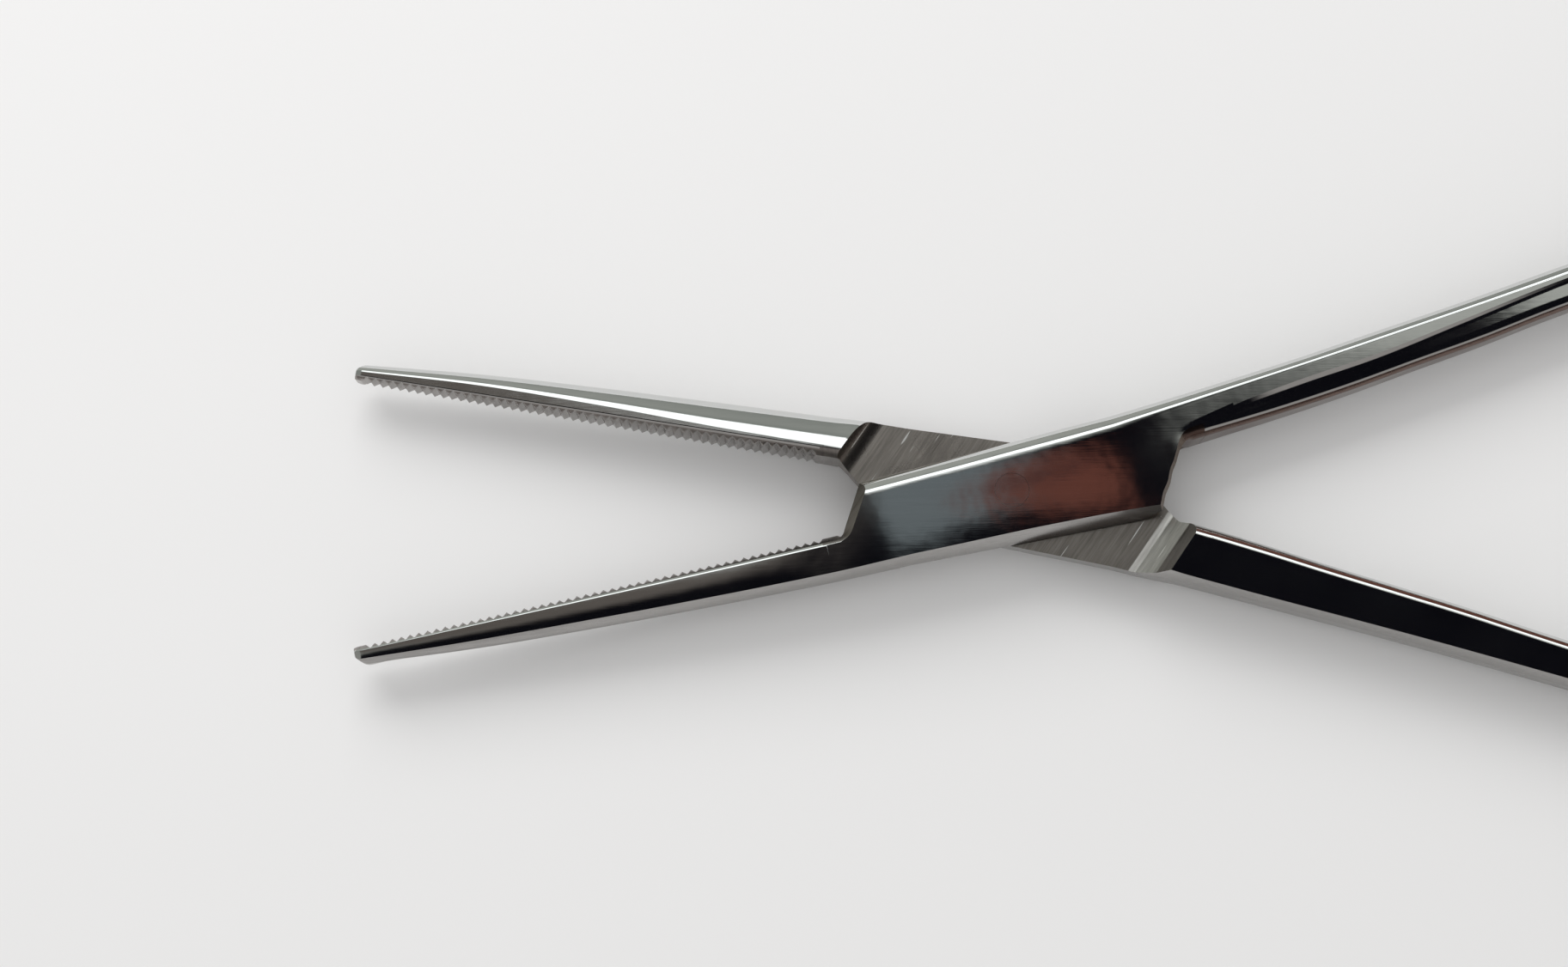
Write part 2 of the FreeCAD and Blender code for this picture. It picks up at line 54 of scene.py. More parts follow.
# The skins stay a hair inside the frame's half thickness, so that rounding can't put them past its box.
SKIN_HALF = 2.7995
BOX_HALF_WIDTH = 4.42
BOX_WIDENING = 0.033
EDGE_ROUND = 1.05
FRONT_EDGE_SPREAD = 1.3
REAR_SET_BACK = 0.42
WEB_HALF = 0.9
SLOT_PLAY = 0.08
SLOT_REACH = 16.35
SLOT_SLOPE = 35.3
SLOT_FAR = 9.0
WALL_REACH = 12.45
WALL_TURN = 30.8
WALL_RIPPLE = 0.05
NOSE_LEVEL = 2.0
JAW_WALL_BEVEL = 0.8
SHANK_WALL_BEVEL = 0.35
SHANK_WALL_REACH = 12.55
UNDERCUT = 1.15
JAW_FILLET = 0.9
SHANK_FILLET = 1.9
WEB_REACH = 14.4
WEB_SLOPE = 40.0
WEB_FILLET = 0.5
SHOULDER_REACH = 12.45
SHOULDER_TURN = 25.0
SCOOP_FOOT = 12.2
SCOOP_RADIUS = 1.7
SCOOP_ARC = 88
SCOOP_STEPS = 14
SCOOP_LIP = 0.05
SHOULDER_EASE = 0.6
SHOULDER_EASE_RISE = 0.06
RAMP_SLOPE = 62.0
RAMP_RISE = 0.75
FACET_SLOPE = 40.0
PIN_RADIUS = 1.45
PIN_PLAY = 0.05
PIN_FIT = 0.012
PIN_EDGE_BREAK = 0.015
PIN_END_RADII = (0.02, 0.4, 0.8, 1.1, 1.3, PIN_RADIUS - PIN_EDGE_BREAK)
HEEL_X = 9.5
# Where an arm's section changes from one side of the middle line to both, and back.
JAW_END = 16.3
SHANK_START = 16.9
OVERLAP = 0.3
# How far apart the two sections lie where the outline jumps, and how far a cutter keeps off the limb
JUMP = 0.01
CUT_CLEAR = 0.01

# Jaw: the back's distance from the middle line, and the width and height of its rounding.
JAW_LENGTH = 57.1
JAW_RELIEF = 0.35
JAW_BACK = [
    (-57.1, 1.85, 0.75, 0.95),
    (-46.5, 2.80, 1.20, 1.30),
    (-36.0, 3.38, 1.80, 1.60),
    (-26.0, 3.78, 2.45, 1.85),
    (-16.5, 4.05, 2.80, 1.85),
    (-12.0, 4.09, 2.75, 1.60),
    (-9.5, 4.11, 1.30, 1.05),
]
# How far the edges seen in the photograph lie inside the frame's outline: the web arm's back and outer
# side, and the box arm's upper edge
WEB_ARM_GROUND = [(-57.1, 0.05), (-50.0, 0.07), (-16.0, 0.07), (-14.0, 0.0), (-9.0, 0.0), (10.0, 0.0),
                  (12.0, 0.0), (16.0, 0.18), (60.0, 0.22), (80.0, 0.0)]
BOX_ARM_GROUND = [(-16.5, 0.36), (-5.0, 0.36), (6.0, 0.26), (17.0, 0.36), (26.0, 0.42), (34.0, 0.32),
                  (42.0, 0.30), (50.0, 0.20), (60.0, 0.12), (80.0, 0.0)]
# How far the front of the box arm arches across its width
CROWN = [(-57.1, 0.035), (-46.5, 0.055), (-30.0, 0.07), (-22.0, 0.05), (-17.6, 0.0), (-16.8, 0.0),
         (-16.0, 0.0), (-15.2, 0.0), (-11.0, 0.035), (0.0, 0.055), (9.0, 0.045), (13.5, 0.0), (14.5, 0.0),
         (16.9, 0.0)]
# The least width of the flat between a jaw's rounded back and its bevel
JAW_FRONT_MIN = 0.12
# The gripping face's bevel: how softly it meets the front, how many of its steps beside the front are
# polished, and rows of x with its width on the front and its height
BEVEL_SOFTNESS = 1.5
BEVEL_POLISHED_STEPS = 4
GRIP_BEVEL = [(-57.1, 0.42, 0.36), (-40.0, 0.52, 0.50), (-16.5, 0.68, 0.75)]
TOOTH_PITCH = 0.76
TOOTH_DEPTH = 0.38
TOOTH_COUNT = 52
TOOTH_STEPS = 8
TOOTH_MARGIN = 1.1
TOOTH_VALLEY = 0.86
VALLEY_DEPTH_SHARE = 0.45
TIP_ROUND = 0.5
TIP_SHRINK = 0.78
TIP_STATIONS = (0.0, 0.06, 0.2, 0.45, 0.8, 1.2, 1.7)
TIP_SLOPE_LENGTH = 1.1
TIP_SLOPE_START = 1.25
TIP_SLOPE_MARGIN = 0.1
# The rear's set-back fades out over a length, and is gone at these distances from the tip and the shank.
REAR_FADE = 4
REAR_FADE_TIP = 0.4
REAR_FADE_SHANK = 1

# Half thickness of an arm along x
HALF_THICKNESS = [
    (-57.1, 1.15), (-46.5, 1.50), (-36.0, 1.85), (-26.0, 2.22), (-16.5, 2.55), (-11.0, 2.76), (-6.0, 2.80),
    (6.0, 2.80), (11.0, 2.77), (20.0, 2.60), (32.0, 2.47), (48.0, 2.30), (67.0, 2.23), (95.7, 2.20),
]

# Shank: its outer edge, and the inner edges of the two arms
SHANK_OUTER = [(9.5, 4.73), (13.4, 5.05), (20.5, 5.70), (34.5, 7.02), (48.8, 8.58), (67.0, 10.70),
               (87.0, 12.90), (95.7, 14.30)]
BOX_ARM_INNER = [(14.0, 0.70), (17.7, 1.04), (23.9, 1.51), (30.2, 2.13), (36.5, 2.94), (42.8, 3.72),
                 (49.2, 4.70), (67.0, 6.90), (87.0, 9.30), (95.7, 10.55)]
WEB_ARM_INNER = [(14.0, 0.00), (15.6, 0.09), (21.5, 0.80), (27.5, 1.64), (33.5, 2.43), (39.4, 3.22),
                 (45.4, 4.15), (49.2, 4.70), (67.0, 6.90), (87.0, 9.30), (95.7, 10.55)]
SHANK_ROUND_WIDTH = 0.95
SHANK_ROUND_HEIGHT = 1.05
# The rounding along the outer edge of the box arm is tightest on the first half of the shank.
OUTER_ROUND_WIDTH = [(-14.0, 1.15), (0.0, 1.20), (6.0, 1.24), (11.8, 1.08), (17.0, 0.98), (25.5, 0.87),
                     (33.3, 0.90), (41.0, 0.88), (49.0, 0.95), (95.7, 1.0)]
# Side facets: how wide the facet is between the front and the side, along the whole arm.
SIDE_FACET = [(-57.1, 0.42), (-43.0, 0.66), (-20.0, 0.62), (-14.0, 0.62), (-6.0, 0.74), (2.3, 0.90),
              (11.5, 0.80), (16.0, 0.42), (48.0, 0.42), (95.7, 0.60)]
SIDE_FLAT_SHARE = 0.34
FACET_CROWN = 0.10
# A ledge along the front of the box arm's shank: how far it lies from the outer edge, its width and drop
LEDGE = [
    (11.0, 4.1, 1.4, 0.0), (13.3, 3.6, 1.2, 0.0), (15.0, 3.35, 1.0, 0.0), (17.3, 3.1, 0.80, 0.12),
    (19.2, 2.87, 0.73, 0.23), (21.2, 2.65, 0.66, 0.31), (26.7, 2.40, 0.60, 0.34), (33.3, 2.35, 0.54, 0.31),
    (40.8, 1.95, 0.46, 0.26), (50.0, 1.50, 0.40, 0.20), (67.0, 1.30, 0.34, 0.13), (87.0, 1.25, 0.34, 0.0),
    (95.7, 1.25, 0.34, 0.0),
]
# The slope of the front inside the ledge, towards the arms' middle line
INNER_LEAN = [(14.0, 0.0), (17.0, 0.01), (21.0, 0.026), (25.0, 0.034), (40.0, 0.034), (52.0, 0.0),
              (95.7, 0.0)]
# How far over the cheek the ledge's drop fades out, which share of the ledge is straight, and how much
# steeper than the whole that share is
CHEEK_FADE = 2.2
LEDGE_STRAIGHT = 0.6
LEDGE_SLOPE = 1.25

# How many steps a quarter of a section has on its side and on its rounding
SIDE_STEPS = 5
ROUND_STEPS = 12
# A rounding's stretches, from the front to the side: tilts at both ends, and the share of its length
ROUND_TILTS = [(0.0, 20.0, 0.50), (20.0, 50.0, 0.75), (50.0, 90.0, 0.45)]
# Points along the front's three stretches, where the second starts and ends without a ledge, and the
# shortest length of the outer ones
FRONT_STEPS = (9, 8, 6)
FRONT_STOPS = (0.4, 0.75)
FRONT_MIN = 0.01
# How far apart sections lie along an arm, up to which x
STRIDES = ((SHANK_START, 0.4), (40.0, 0.8), (SHANK_OUTER[-1][0], 1.6))

# Handle end
RING_X = 108.3
RING_Y = 14.2
RING_HALF_LENGTH = 14.594
RING_HALF_WIDTH = 12.596
RING_WALL = 3.3
RING_THICKNESS = 5.0
RING_STEPS = (120, 28)
RATCHET_X = 87.0
RATCHET_WIDTH = 6.0
RATCHET_PAST_MIDDLE = 3.6
RATCHET_BAR = 1.5
RATCHET_INSIDE = 11.0
RATCHET_SOFT = 0.35
RATCHET_END_SOFT = RATCHET_SOFT * 0.6
RATCHET_PLAY = 0.12
RATCHET_PITCH = 1.5
RATCHET_TOOTH = 0.6
RATCHET_TEETH = 3

# How far the cutters reach: outwards in front of a wall, past the front and rear, and along the recess
CUTTER_REACH = 9.5
CUTTER_MARGIN = 1.0
RECESS_REACH = 14.0
# Levels of the points through a wall's thickness, from above the front to the slot
WALL_LEVELS = (3.4, 2.8, 2.72, 2.62, 2.5, 2.35, 2.2, 2.1, 2.0, 1.85, 1.65, 1.4, 1.2, 0.98)
# Points along a wall's plan line: the stride along the limb and the gap before the fillet, the fillet's
# steps, the wall's steps and length, and from which share on a point belongs to the wall
LAND_STRIDE = 0.3
LAND_GAP = 0.1
FILLET_STEPS = 12
FILLET_PASSES = 6
WALL_STEPS = 24
WALL_RUN = 9.0
WALL_SHARE = 0.35
RIPPLE_RATE = 2.9
RIPPLE_START = 1.5
CIRCLE_STEPS = 72

# How a joined skin is cleaned, and from which angle on an edge is sharp
MERGE_DISTANCE = 0.002
DEGENERATE_DISTANCE = 0.001
SHARP_ANGLE = 24

# Material indices, the same on every part of an arm
POLISHED = 0
GROUND = 1
DULL = 2
MILLED = 3
BRUSHED = 4
# The box arm's wall at the shank end of the lock is painted dark brown: a painted dark reflection.
PAINTED_DARK_WALL = 5
RAMP = 6
# The low side of the box arm's shank is painted dark brown-grey: a painted dark reflection.
SHADED = 7
INDEX_COUNT = 8

# The photograph's camera, fitted to the pivot and both jaws: turns in radians, shift and distance in
# millimetres from the pivot's mid-plane, focal length in pixels of the photograph's width.
PHOTO_WIDTH = 1825
SENSOR_WIDTH = 36.0
CAMERA_TURNS = (-0.1856, -0.009, 0.0266)
CAMERA_SHIFT = (19.2513, -1.049)
CAMERA_DISTANCE = 220.0545
FOCAL_PIXELS = 3000.0
CAMERA_CLIP = 0.005

# Plain light on what is matt, the lamp and the floor, in metres, watts and linear colours
PLAIN_LIGHT = 0.70
LAMP_PLACE = (-0.16, 0.40, 0.30)
LAMP_SIZE = (0.50, 0.30)
LAMP_POWER = 1.7
FLOOR_HALF_SIZE = 3.0
FLOOR_COLOUR = (0.83, 0.825, 0.82, 1)
FLOOR_ROUGHNESS = 0.8


def make_camera():
    turn_x, turn_y, turn_z = CAMERA_TURNS
    to_camera = (Matrix.Rotation(turn_x, 3, "X") @ Matrix.Rotation(turn_y, 3, "Y")
                 @ Matrix.Rotation(turn_z, 3, "Z"))
    to_world = to_camera.transposed()
    place = to_world @ Vector((-CAMERA_SHIFT[0], -CAMERA_SHIFT[1], CAMERA_DISTANCE))
    place.z += BOX_HALF
    data = bpy.data.cameras.new("photo_camera")
    data.sensor_width = SENSOR_WIDTH
    data.lens = FOCAL_PIXELS / PHOTO_WIDTH * SENSOR_WIDTH
    data.clip_start = CAMERA_CLIP
    camera = bpy.data.objects.new("photo_camera", data)
    bpy.context.scene.collection.objects.link(camera)
    camera.matrix_world = Matrix.Translation(place * MM) @ to_world.to_4x4()
    bpy.context.scene.camera = camera


def between(table, x):
    """A smooth value from a table of rows that start with x: a cubic through its rows."""
    if x <= table[0][0]:
        return table[0][1:]
    if x >= table[-1][0]:
        return table[-1][1:]
    k = max(i for i, row in enumerate(table) if row[0] <= x)
    k = min(k, len(table) - 2)
    x0, x1 = table[k][0], table[k + 1][0]
    t = (x - x0) / (x1 - x0)
    out = []
    for j in range(1, len(table[0])):
        y0, y1 = table[k][j], table[k + 1][j]
        before = table[k - 1] if k > 0 else None
        after = table[k + 2] if k + 2 < len(table) else None
        slope0 = (y1 - before[j]) / (x1 - before[0]) if before else (y1 - y0) / (x1 - x0)
        slope1 = (after[j] - y0) / (after[0] - x0) if after else (y1 - y0) / (x1 - x0)
        m0, m1 = slope0 * (x1 - x0), slope1 * (x1 - x0)
        h00 = 2 * t ** 3 - 3 * t ** 2 + 1
        h10 = t ** 3 - 2 * t ** 2 + t
        h01 = -2 * t ** 3 + 3 * t ** 2
        h11 = t ** 3 - t ** 2
        out.append(h00 * y0 + h10 * m0 + h01 * y1 + h11 * m1)
    return out


def box_edge(x):
    return BOX_HALF_WIDTH + BOX_WIDENING * x


def half_thickness(x):
    return min(SKIN_HALF, between(HALF_THICKNESS, x)[0])


def new_object(name, vertices, faces, indices):
    """A mesh object in millimetres, with a material index for each face."""
    mesh = bpy.data.meshes.new(name)
    mesh.from_pydata([tuple(v) for v in vertices], [], faces)
    for _ in range(INDEX_COUNT):
        mesh.materials.append(None)
    mesh.polygons.foreach_set("material_index", indices)
    obj = bpy.data.objects.new(name, mesh)
    bpy.context.scene.collection.objects.link(obj)
    face_outwards(obj)
    return obj


def face_outwards(obj):
    """Turn every face of a closed mesh outwards."""
    work = bmesh.new()
    work.from_mesh(obj.data)
    bmesh.ops.recalc_face_normals(work, faces=work.faces)
    if work.calc_volume(signed=True) < 0:
        bmesh.ops.reverse_faces(work, faces=work.faces)
    work.to_mesh(obj.data)
    work.free()


def tube(name, rings, side=BOX_ARM, index=POLISHED, around=None):
    """A closed skin over rings of points (x, w, z), with a flat cap at each end. Around may give a material
    index for each place along a ring."""
    count = len(rings[0])
    vertices = [(x, side * w, z) for ring in rings for x, w, z in ring]
    faces = []
    indices = []
    for i in range(len(rings) - 1):
        for j in range(count):
            k = (j + 1) % count
            faces.append((i * count + j, i * count + k, (i + 1) * count + k, (i + 1) * count + j))
            indices.append(around[j] if around else index)
    last = (len(rings) - 1) * count
    faces.append(tuple(range(count)))
    faces.append(tuple(last + j for j in reversed(range(count))))
    return new_object(name, vertices, faces, indices + [index, index])


def combine(target, tool, operation):
    """Join a closed mesh to another one, or cut it out, and drop the tool."""
    step = target.modifiers.new(operation.lower(), "BOOLEAN")
    step.operation = operation
    step.solver = "EXACT"
    step.object = tool
    bpy.context.view_layer.update()
    graph = bpy.context.evaluated_depsgraph_get()
    mesh = bpy.data.meshes.new_from_object(target.evaluated_get(graph))
    target.modifiers.clear()
    target.data = mesh
    bpy.data.objects.remove(tool)


def smooth(t):
    t = max(0.0, min(1.0, t))
    return t * t * (3 - 2 * t)


def rounding(spread, height):
    """A corner's offsets from its tangent lines, from the side to the front. Its tilt against the front
    follows ROUND_TILTS."""
    across, down = [0.0], [0.0]
    stretches = len(ROUND_TILTS)
    for tilt0, tilt1, run in ROUND_TILTS:
        for i in range(ROUND_STEPS // stretches):
            tilt = math.radians(tilt0 + (tilt1 - tilt0) * (i + 0.5) * stretches / ROUND_STEPS)
            across.append(across[-1] + run * math.cos(tilt))
            down.append(down[-1] + run * math.sin(tilt))
    offsets = [(spread * (1 - a / across[-1]), height * d / down[-1]) for a, d in zip(across, down)]
    return offsets[::-1]


def facet(x):
    """A corner's offsets along the ground side facet, slightly crowned."""
    spread = between(SIDE_FACET, x)[0]
    height = half_thickness(x) * (1 - SIDE_FLAT_SHARE)
    offsets = []
    for i in range(ROUND_STEPS + 1):
        t = i / ROUND_STEPS
        offsets.append((spread * (t - FACET_CROWN * math.sin(math.pi * t)), height * (1 - t)))
    return offsets


def bevel(spread, height):
    """A corner's offsets along a bevel that runs out softly on the front."""
    offsets = []
    for i in range(ROUND_STEPS + 1):
        t = i / ROUND_STEPS
        offsets.append((spread * t, height * (1 - t) ** BEVEL_SOFTNESS))
    return offsets


def half_outline(low, high, half, low_corner, high_corner, ledge=None):
    """The front half of a section, from the low side over the front to the high side, as (w, z). Its front
    has more points along the ledge."""
    points = [(low, (half - low_corner[0][1]) * i / SIDE_STEPS) for i in range(SIDE_STEPS)]
    points += [(low + dw, half - dz) for dw, dz in low_corner]
    first, last = low + low_corner[-1][0], high - high_corner[-1][0]
    start, end = ledge if ledge else [first + (last - first) * share for share in FRONT_STOPS]
    stops = [first, max(start, first + FRONT_MIN), min(end, last - FRONT_MIN), last]
    for i, steps in enumerate(FRONT_STEPS):
        points += [(stops[i] + (stops[i + 1] - stops[i]) * k / steps, half) for k in range(1, steps + 1)]
    points.pop()
    points += [(high - dw, half - dz) for dw, dz in reversed(high_corner)]
    points += [(high, (half - high_corner[0][1]) * i / SIDE_STEPS) for i in reversed(range(SIDE_STEPS))]
    return points


def whole_outline(front):
    """Both halves of a section that is the same at the front and the rear."""
    return front + [(w, -z) for w, z in reversed(front[1:-1])]


def set_back_rear(outline, share):
    """Narrow the rear part of a section, as on the forging's rear face."""
    low, high = min(w for w, _ in outline), max(w for w, _ in outline)
    middle = (low + high) / 2
    level = WEB_HALF + SLOT_PLAY
    out = []
    for w, z in outline:
        inwards = REAR_SET_BACK * share * smooth((level - z) / (2 * level))
        out.append((middle + (w - middle) * (1 - 2 * inwards / (high - low)), z))
    return out


def tooth_floor(x, first):
    """How far the gripping face lies from the middle line at x: sharp crests and narrow rounded valleys."""
    along = (x - first) / TOOTH_PITCH
    if along < -0.5 or along > TOOTH_COUNT - 0.5:
        return JAW_RELIEF
    phase = along + 0.5 - math.floor(along + 0.5)
    depth = 1 - abs(phase - 0.5) * 2
    if depth > TOOTH_VALLEY:
        depth = TOOTH_VALLEY + (depth - TOOTH_VALLEY) * VALLEY_DEPTH_SHARE
    return JAW_RELIEF + TOOTH_DEPTH * depth


def jaw_outline(x, side, first):
    """A section of the jaw: a rounded or ground back, and a bevelled gripping face with its teeth."""
    back, spread, height = between(JAW_BACK, x)
    if side == WEB_ARM:
        back -= between(WEB_ARM_GROUND, x)[0]
    half = half_thickness(x)
    bevel_width, bevel_height = between(GRIP_BEVEL, x)
    spread = min(spread, back - JAW_RELIEF - bevel_width - JAW_FRONT_MIN)
    corner = facet(x) if side == BOX_ARM else rounding(spread, height)
    grip = bevel(bevel_width, bevel_height)
    outline = whole_outline(half_outline(-back, -JAW_RELIEF, half, corner, grip))
    if side == BOX_ARM:
        outline = crowned(outline, between(CROWN, x)[0] / half)
    floor = -tooth_floor(x, first)
    middle = -(back + JAW_RELIEF) / 2
    return [(min(w, floor) if w > middle else w, z) for w, z in outline]


def crowned(outline, share):
    """Arch a section's front and rear by a share of its half thickness."""
    low, high = min(w for w, _ in outline), max(w for w, _ in outline)
    out = []
    for w, z in outline:
        off_middle = (2 * w - low - high) / (high - low)
        out.append((w, z * (1 - share * off_middle ** 2)))
    return out


def ledge_span(x):
    """Where the ledge starts and ends across the shank."""
    from_edge, width, _ = between(LEDGE, x)
    top = between(SHANK_OUTER, x)[0] - from_edge
    return top - width, top


def outer_edge(x, side):
    """Where the shank's outer side, or the lock's edge on that side, lies at x."""
    edge = box_edge(x) if x < HEEL_X else between(SHANK_OUTER, x)[0]
    if side == BOX_ARM:
        return edge - between(BOX_ARM_GROUND, x)[0]
    if x > 0:
        return edge - between(WEB_ARM_GROUND, x)[0]
    return edge


def lock_outline(x, side):
    """A section across the whole lock, from the jaw's back or the box's edge to the other edge."""
    if x < 0:
        low, low_spread, low_height = between(JAW_BACK, x)
        if x > -HEEL_X:
            low = box_edge(x)
        elif side == WEB_ARM:
            low -= between(WEB_ARM_GROUND, x)[0]
    else:
        low, low_spread, low_height = box_edge(x), FRONT_EDGE_SPREAD, EDGE_ROUND
    if side == BOX_ARM:
        low_corner = facet(x)
        high_corner = rounding(between(OUTER_ROUND_WIDTH, x)[0], EDGE_ROUND)
    else:
        low_corner = rounding(low_spread, low_height)
        high_corner = facet(x)
    half = half_thickness(x)
    front = half_outline(-low, outer_edge(x, side), half, low_corner, high_corner, ledge_span(x))
    outline = whole_outline(front)
    if side == BOX_ARM:
        outline = crowned(outline, between(CROWN, x)[0] / half)
    return outline


def shank_outline(x, side, inner_edge):
    inner = between(inner_edge, x)[0]
    half = half_thickness(x)
    inner_corner = rounding(SHANK_ROUND_WIDTH, SHANK_ROUND_HEIGHT)
    outer_corner = facet(x) if side == WEB_ARM else rounding(between(OUTER_ROUND_WIDTH, x)[0], EDGE_ROUND)
    outer = outer_edge(x, side)
    return whole_outline(half_outline(inner, outer, half, inner_corner, outer_corner, ledge_span(x)))


def add_ledge(outline, x):
    """Lower the front and the rear of a section inside the ledge that runs along the shank. In the lock
    this fades out over the cheek."""
    start, top = ledge_span(x)
    drop = between(LEDGE, x)[2]
    inner = between(BOX_ARM_INNER, x)[0]
    out = []
    for w, z in outline:
        into = (top - w) / (top - start)
        if into <= 0:
            lower = 0.0
        elif into < LEDGE_STRAIGHT:
            lower = drop * into * LEDGE_SLOPE
        elif into < 1:
            rest = (1 - into) / (1 - LEDGE_STRAIGHT)
            lower = drop * (1 - (1 - LEDGE_STRAIGHT * LEDGE_SLOPE) * rest * rest)
        else:
            lower = drop + (start - max(w, min(inner, start))) * between(INNER_LEAN, x)[0]
        if x < SHANK_START:
            lower *= smooth((w - inner + CHEEK_FADE) / CHEEK_FADE)
        half = half_thickness(x)
        out.append((w, z * (1 - lower / half)))
    return out


def tip_rounded(outline, x):
    """Draw the first sections in, so that the blunt end is rounded over."""
    into = (x + JAW_LENGTH) / TIP_ROUND
    if into >= 1:
        return outline
    size = TIP_SHRINK + (1 - TIP_SHRINK) * math.sqrt(max(0.0, 1 - (1 - into) ** 2))
    middle = (min(w for w, _ in outline) + max(w for w, _ in outline)) / 2
    return [(middle + (w - middle) * size, z * size) for w, z in outline]


def tip_sloped(outline, x):
    """Cut the corner between the jaw's back and its end."""
    into = (x + JAW_LENGTH) / TIP_SLOPE_LENGTH
    if into >= 1:
        return outline
    widest = JAW_BACK[0][1] + TIP_SLOPE_MARGIN
    limit = -(TIP_SLOPE_START + (widest - TIP_SLOPE_START) * math.sin(math.radians(90 * into)))
    return [(max(w, limit), z) for w, z in outline]


def arm_stations(first):
    """Where an arm's sections lie: over the rounded tip, at each step of each tooth, then evenly."""
    start = -JAW_LENGTH
    stations = [start + TIP_ROUND * share for share in TIP_STATIONS]
    step = TOOTH_PITCH / TOOTH_STEPS
    x = first - TOOTH_PITCH / 2
    while x < -JAW_END - step:
        if x > stations[-1] + step / 2:
            stations.append(x)
        x += step
    stations += [-JAW_END, -JAW_END + JUMP]
    for stop, stride in STRIDES:
        x = stations[-1] + stride
        while x < stop - stride / 2:
            stations.append(x)
            x += stride
        stations.append(stop)
        if stop == SHANK_START:
            stations.append(stop + JUMP)
    return stations


def arm_outline(x, side, first, inner_edge):
    """An arm's section at x, as (w, z): jaw, lock or shank."""
    if x <= -JAW_END:
        outline = tip_rounded(tip_sloped(jaw_outline(x, side, first), x), x)
    elif x <= SHANK_START:
        outline = lock_outline(x, side)
    else:
        outline = shank_outline(x, side, inner_edge)
    if side == BOX_ARM:
        if x > LEDGE[0][0]:
            outline = add_ledge(outline, x)
        before_shank = smooth((SHANK_START - REAR_FADE_SHANK - x) / REAR_FADE)
        past_tip = smooth((x + JAW_LENGTH - REAR_FADE_TIP) / REAR_FADE)
        outline = set_back_rear(outline, before_shank * past_tip)
    return outline


def make_limb(side, first, inner_edge):
    """The arm as forged, from the tip to the ring, as one skin."""
    stations = arm_stations(first)
    rings = [[(x, w, z) for w, z in arm_outline(x, side, first, inner_edge)] for x in stations]
    limb = tube("limb", rings, side)
    count = len(rings[0])
    low = SIDE_STEPS + ROUND_STEPS
    high = low + sum(FRONT_STEPS)
    half_round = SIDE_STEPS + ROUND_STEPS // 2
    for number, face in enumerate(limb.data.polygons):
        station, around = divmod(number, count)
        if station >= len(stations) - 1:
            continue
        on_low_side = around < low or around >= count - low
        on_high_side = high <= around < count - high
        if on_high_side and stations[station + 1] <= -JAW_END:
            if high + BEVEL_POLISHED_STEPS <= around < count - high - BEVEL_POLISHED_STEPS:
                face.material_index = MILLED
        elif on_high_side and side == WEB_ARM and stations[station] > -JAW_END:
            face.material_index = BRUSHED
        # On the box arm the shank's low side gets the painted dark reflection, and the lock's low side the
        # brushed finish.
        elif on_low_side and side == BOX_ARM:
            face.material_index = BRUSHED if stations[station + 1] <= SHANK_START else SHADED
            if stations[station] >= SHANK_START and half_round <= around < count - half_round:
                face.material_index = POLISHED
    return limb


def outline_block(name, outline, low, high, side=BOX_ARM, index=POLISHED):
    """A straight block over a plan outline."""
    rings = [[(x, w, low) for x, w in outline], [(x, w, high) for x, w in outline]]
    return tube(name, rings, side, index)


def wall_path(land, first_x, reach, slope, fillet, ripple):
    """The plan line of a wall that ends the lock: along the limb's edge, round a fillet and up the wall.
    The limb lies below the line. Each point has its normal, out of the metal, and its share of the wall."""
    slope = math.radians(slope)
    normal = Vector((-math.sin(slope), math.cos(slope)))
    along = Vector((math.cos(slope), math.sin(slope)))
    up = Vector((0.0, 1.0))
    foot = normal * (reach + fillet)
    centre = foot
    for _ in range(FILLET_PASSES):
        centre_w = land(centre.x) + fillet
        centre = foot + along * ((centre_w - foot.y) / along.y)
    x = first_x
    path = []
    while x < centre.x - LAND_GAP:
        path.append((Vector((x, land(x))), up, 0.0))
        x += LAND_STRIDE
    end_angle = math.atan2(-normal.y, -normal.x)
    start_angle = -math.pi / 2
    for i in range(FILLET_STEPS + 1):
        angle = start_angle + (end_angle - start_angle) * i / FILLET_STEPS
        inwards = Vector((math.cos(angle), math.sin(angle)))
        path.append((centre + inwards * fillet, -inwards, smooth(i / FILLET_STEPS)))
    start = path[-1][0]
    for i in range(1, WALL_STEPS + 1):
        run = WALL_RUN * i / WALL_STEPS
        wave = ripple * math.sin(run * RIPPLE_RATE) * smooth(run / RIPPLE_START)
        path.append((start + along * run + normal * wave, normal, 1.0))
    return path


def jaw_edge(x):
    """The levels and insets of the jaw's bevelled edge, from above its front down to the gripping face."""
    bevel_width, bevel_height = between(GRIP_BEVEL, x)
    half = half_thickness(x)
    edge = [(half - dz, dw) for dw, dz in reversed(bevel(bevel_width, bevel_height))]
    return [(WALL_LEVELS[0], bevel_width)] + edge


def shank_edge(x, side, inner_edge):
    """The levels and insets of the shank's rounded inner edge, from above its front down to its side."""
    outline = shank_outline(x, side, inner_edge)
    if side == BOX_ARM:
        outline = add_ledge(outline, max(x, SHANK_START))
    inner = outline[0][0]
    corner = outline[SIDE_STEPS:SIDE_STEPS + ROUND_STEPS + 1]
    edge = [(z, w - inner) for w, z in reversed(corner)]
    return [(WALL_LEVELS[0], edge[0][1])] + edge


def nose_wall(front_bevel):
    """The levels and insets of a cheek's end: a front bevel, a nose, and the undercut to the slot."""
    slot = WEB_HALF + SLOT_PLAY
    wall = []
    for level in WALL_LEVELS:
        if level > NOSE_LEVEL:
            inset = (level - NOSE_LEVEL) * front_bevel / (BOX_HALF - NOSE_LEVEL)
        else:
            inset = UNDERCUT * (NOSE_LEVEL - level) / (NOSE_LEVEL - slot)
        wall.append((level, inset))
    return wall


